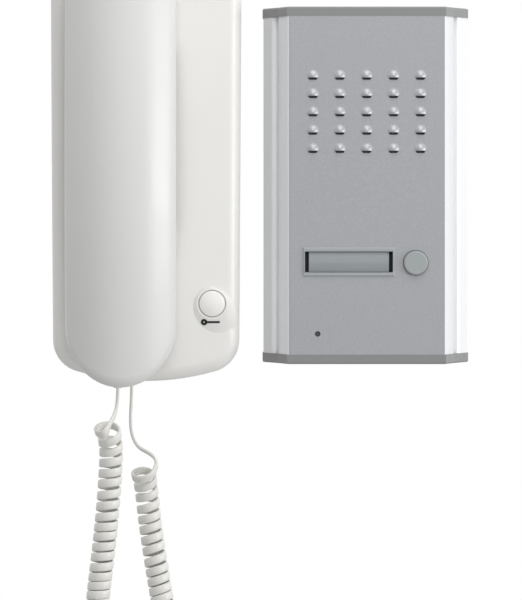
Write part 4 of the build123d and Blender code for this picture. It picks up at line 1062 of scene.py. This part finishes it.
class INTERCOM_OT_rails(bpy.types.Operator):
    """Makes the door station's two extruded side rails, each with its deep line and rounded shoulder"""

    bl_idname = "intercom.rails"
    bl_label = "Side rails"

    def execute(self, context):
        colours = context.scene.intercom_colours
        metal = drawn_metal("satin rail", colours.rail, 0.36, stretch=(1.0, 1.0, 0.02), metallic=0.35)
        for node, side in (("door_left_rail", -1), ("door_right_rail", 1)):
            low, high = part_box(node)
            rail = self.extrusion(f"{node}_extrusion", side, low[2], high[2])
            rail.data.materials.append(metal)
            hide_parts(node)
            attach(rail, "stations")
        return {"FINISHED"}

    def outline(self):
        """The rail's section from above: distance from the middle, and depth, in millimetres."""
        edge = 50.4
        line = 43.0
        line_depth = 22.0
        lip = 0.2
        fall = 12.0
        run = 7.4
        slope = math.atan2(fall, run)
        radius = 2.5
        shoulder_start = -math.radians(32)
        middle_x = line + lip - radius * math.sin(shoulder_start)
        touch_x = middle_x + radius * math.sin(slope)
        middle_depth = line_depth - (touch_x - line) * fall / run - radius * math.cos(slope)
        steps = 12
        angles = [mix(slope, shoulder_start, i / steps) for i in range(steps + 1)]
        shoulder = [(middle_x + radius * math.sin(a), middle_depth + radius * math.cos(a)) for a in angles]
        outside = [(edge, 0.0), (edge, 10.0)] + shoulder
        outside += [(line, shoulder[-1][1] - lip), (line, line_depth), (38.4, PLATE_DEPTH)]
        inside = [(38.05, PLATE_DEPTH), (38.05, 30.5), (34.8, 30.5), (34.8, 28.9), (36.6, 28.9)]
        inside += [(41.2, 21.2), (41.2, 14.0), (48.6, 9.2), (48.6, 0.0)]
        return outside + inside

    def extrusion(self, name, side, low, high):
        """One rail with its screw port, between two levels."""
        build = bmesh.new()
        section = [(DOOR_MIDDLE_X + side * x, depth) for x, depth in self.outline()]
        for end in self.walls(build, section, low, high):
            build.faces.new(end)
        port = (DOOR_MIDDLE_X + side * 46.4, 6.0)
        steps = 24
        port_radii = (2.9, 1.25)
        outer, inner = [self.walls(build, circle(port, radius, steps), low, high) for radius in port_radii]
        for rim, hole in zip(outer, inner):
            for i, k in neighbours(steps):
                build.faces.new((rim[i], rim[k], hole[k], hole[i]))
        bmesh.ops.recalc_face_normals(build, faces=build.faces)
        rail = built_object(name, build)
        rail.data.shade_smooth()
        rail.data.set_sharp_from_angle(angle=math.radians(25))
        return rail

    def walls(self, build, section, low, high):
        """Walls of a bar of a section, and the rings of corners at its two ends."""
        ends = [[build.verts.new((x * MM, -y * MM, z)) for x, y in section] for z in (low, high)]
        foot, top = ends
        for i, k in neighbours(len(section)):
            build.faces.new((foot[i], foot[k], top[k], top[i]))
        return ends


class INTERCOM_OT_works(bpy.types.Operator):
    """Finishes what is inside both stations and the handset"""

    bl_idname = "intercom.works"
    bl_label = "Works inside"

    def execute(self, context):
        black = ("station_transistors", "release_switch", "hook_switch", "call_switch")
        black += ("sounder", "receiver_capsule", "module_frame")
        mouldings = (
            ("works moulding", (214, 214, 210), 0.45, ("hook_plunger",)),
            ("terminal housing", (60, 120, 70), 0.4, ("station_terminal_block", "door_terminal_block")),
            ("can sleeve", (38, 44, 92), 0.28, ("station_capacitors", "door_capacitors")),
            ("black moulding", (34, 34, 35), 0.45, black),
            ("ferrite", (58, 58, 60), 0.6, ("speaker_magnet",)),
            ("lamp lens", (236, 190, 96), 0.15, ("name_lamps",)),
            ("trimmer body", (44, 84, 160), 0.35, ("volume_trimmer",)),
        )
        for name, colour, roughness, nodes in mouldings:
            finish_nodes(moulded_plastic(name, linear(colour), roughness), *nodes)
        finish_nodes(
            drawn_metal("plated steel", (0.62, 0.63, 0.65)),
            "station_terminal_screws",
            "door_terminal_screws",
            "station_board_screws",
            "door_board_screws",
            "cover_screw",
            "cap_screws",
            "handset_screws",
            "door_back_plate",
            "speaker_basket",
        )
        finish_nodes(drawn_metal("spring wire", SPRING_STEEL, stretch=ALONG_WIRE), "hook_spring")
        finish_nodes(drawn_metal("weight steel", (0.40, 0.41, 0.42), 0.4), "handset_weight")
        can = drawn_metal("capsule can", (0.70, 0.71, 0.72), 0.22)
        finish_nodes(can, "handset_microphone", "door_microphone")
        finish_nodes(circuit_laminate("circuit board"), "station_circuit_board", "door_circuit_board")
        finish_nodes(banded_resistor("resistor lacquer"), "station_resistors", "door_resistors")
        finish_nodes(woven_cloth("cone paper", linear((52, 50, 48))), "speaker_cone")
        finish_nodes(woven_cloth("dust cloth", linear((92, 92, 95))), "speaker_cloth")
        foam = soft_rubber("foam ring", linear((60, 60, 60)), 0.8)
        finish_nodes(foam, "speaker_gasket", "receiver_gasket")
        boot = soft_rubber("microphone boot", linear((44, 44, 44)), 0.6)
        finish_nodes(boot, "handset_microphone_boot", "door_microphone_boot")
        return {"FINISHED"}


class INTERCOM_OT_microphone_felt(bpy.types.Operator):
    """Fills the door station's microphone hole with its dark felt"""

    bl_idname = "intercom.microphone_felt"
    bl_label = "Microphone felt"

    def execute(self, context):
        low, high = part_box("door_microphone")
        middle = (Vector(low) + Vector(high)) / 2
        radius = 1.36 * MM
        plate_face = -PLATE_DEPTH * MM
        face = plate_face + 0.45 * MM
        back = plate_face + 1.5 * MM
        steps = 24
        vertices = [(x, y, z) for y in (face, back) for x, z in circle((middle.x, middle.z), radius, steps)]
        faces = [tuple(range(steps)), tuple(range(2 * steps - 1, steps - 1, -1))]
        faces += [(i, i + steps, k + steps, k) for i, k in neighbours(steps)]
        felt = mesh_object("door_microphone_felt", vertices, faces, smooth=False)
        felt.data.materials.append(soft_rubber("microphone felt", linear((84, 84, 87)), 0.95))
        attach(felt, "stations")
        return {"FINISHED"}


class INTERCOM_OT_name_painted_shade(bpy.types.Operator):
    """Lays two thin black strips at the ends of the name window: painted shade for the shadowed gaps there
    """

    bl_idname = "intercom.name_seal"
    bl_label = "Name window painted shade"

    def execute(self, context):
        low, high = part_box("name_window")
        level = (low[2] + high[2]) / 2
        ledge = front_hit(face_tree("name_frame"), low[0] - 1.0 * MM, level).y
        gap = 0.05 * MM
        reach = 1.85 * MM
        thickness = 0.12 * MM
        build = bmesh.new()
        for left, right in ((low[0] - reach, low[0] - gap), (high[0] + gap, high[0] + reach)):
            size = Vector((right - left, thickness, high[2] - low[2]))
            place = Vector(((left + right) / 2, ledge - thickness / 2, level))
            bmesh.ops.create_cube(build, size=1.0, matrix=Matrix.LocRotScale(place, None, size))
        shade_strips = built_object("name_window_painted_shade", build)
        # Near-black strips: painted shade for the shadowed gaps at the window's ends.
        shade_strips.data.materials.append(soft_rubber("window painted shade", linear((40, 42, 44)), 0.6))
        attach(shade_strips, "stations")
        return {"FINISHED"}


class INTERCOM_OT_key_mark(bpy.types.Operator):
    """Prints the small key under the door release button"""

    bl_idname = "intercom.key_mark"
    bl_label = "Key mark"

    def execute(self, context):
        middle = (28.7 * MM, -81.1 * MM)
        ring_radius = 1.6 * MM
        hole_radius = 0.36 * MM
        overlap = 0.1 * MM
        reach = 7.7 * MM
        steps = 28
        outer = circle(middle, ring_radius, steps)
        inner = circle(middle, hole_radius, steps)
        cells = [[outer[i], outer[k], inner[k], inner[i]] for i, k in neighbours(steps)]
        cells += self.bar(middle[0] + ring_radius - overlap, middle[0] + reach, middle[1], 1.05 * MM)
        self.print_cells(cells, context.scene.intercom_colours.key_mark)
        return {"FINISHED"}

    def bar(self, left, right, level, height):
        """A straight bar, cut into cells so that it can follow the curved cover."""
        cell_width = 0.5 * MM
        count = max(1, round((right - left) / cell_width))
        foot = level - height / 2
        head = level + height / 2
        cells = []
        for i in range(count):
            a = mix(left, right, i / count)
            b = mix(left, right, (i + 1) / count)
            cells.append([(a, foot), (b, foot), (b, head), (a, head)])
        return cells

    def print_cells(self, cells, colour):
        """Lays the cells on the cover's face as one thin print."""
        tree = face_tree("station_cover")
        lift = Vector((0, -0.06, 0)) * MM
        vertices = []
        faces = []
        for cell in cells:
            start = len(vertices)
            vertices += [front_hit(tree, x, z) + lift for x, z in cell]
            faces.append(tuple(range(start, start + len(cell))))
        mark = mesh_object("key_mark", vertices, faces, smooth=False)
        mark.data.materials.append(moulded_plastic("key print", colour, 0.5, depth=0.0))
        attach(mark, "stations")


class INTERCOM_PT_panel(bpy.types.Panel):
    """Lists the steps that build the intercom"""

    bl_label = "Wired Intercom"
    bl_idname = "INTERCOM_PT_panel"
    bl_space_type = "VIEW_3D"
    bl_region_type = "UI"
    bl_category = "Intercom"

    def draw(self, context):
        for group_name, _ in SETTINGS:
            settings = getattr(context.scene, group_name)
            box = self.layout.box()
            for name in settings.__annotations__:
                box.prop(settings, name)
        for operator in OPERATORS:
            self.layout.operator(operator.bl_idname)


OPERATORS = (
    INTERCOM_OT_stage,
    INTERCOM_OT_cord,
    INTERCOM_OT_station,
    INTERCOM_OT_springs,
    INTERCOM_OT_handset,
    INTERCOM_OT_door_station,
    INTERCOM_OT_rails,
    INTERCOM_OT_works,
    INTERCOM_OT_microphone_felt,
    INTERCOM_OT_name_painted_shade,
    INTERCOM_OT_key_mark,
)
SETTINGS = (
    ("intercom_stage", IntercomStageSettings),
    ("intercom_cord", IntercomCordSettings),
    ("intercom_scoop", IntercomScoopSettings),
    ("intercom_louvre", IntercomLouvreSettings),
    ("intercom_colours", IntercomColourSettings),
)


def register():
    for name, settings in SETTINGS:
        bpy.utils.register_class(settings)
        setattr(bpy.types.Scene, name, PointerProperty(type=settings))
    for item in OPERATORS + (INTERCOM_PT_panel,):
        bpy.utils.register_class(item)


def unregister():
    for item in reversed(OPERATORS + (INTERCOM_PT_panel,)):
        bpy.utils.unregister_class(item)
    for name, settings in reversed(SETTINGS):
        delattr(bpy.types.Scene, name)
        bpy.utils.unregister_class(settings)


def main():
    register()
    bpy.ops.intercom.stage()
    bpy.ops.intercom.cord()
    bpy.ops.intercom.station()
    bpy.ops.intercom.springs()
    bpy.ops.intercom.handset()
    bpy.ops.intercom.door_station()
    bpy.ops.intercom.rails()
    bpy.ops.intercom.works()
    bpy.ops.intercom.microphone_felt()
    bpy.ops.intercom.name_seal()
    bpy.ops.intercom.key_mark()


if __name__ == "__main__":
    main()
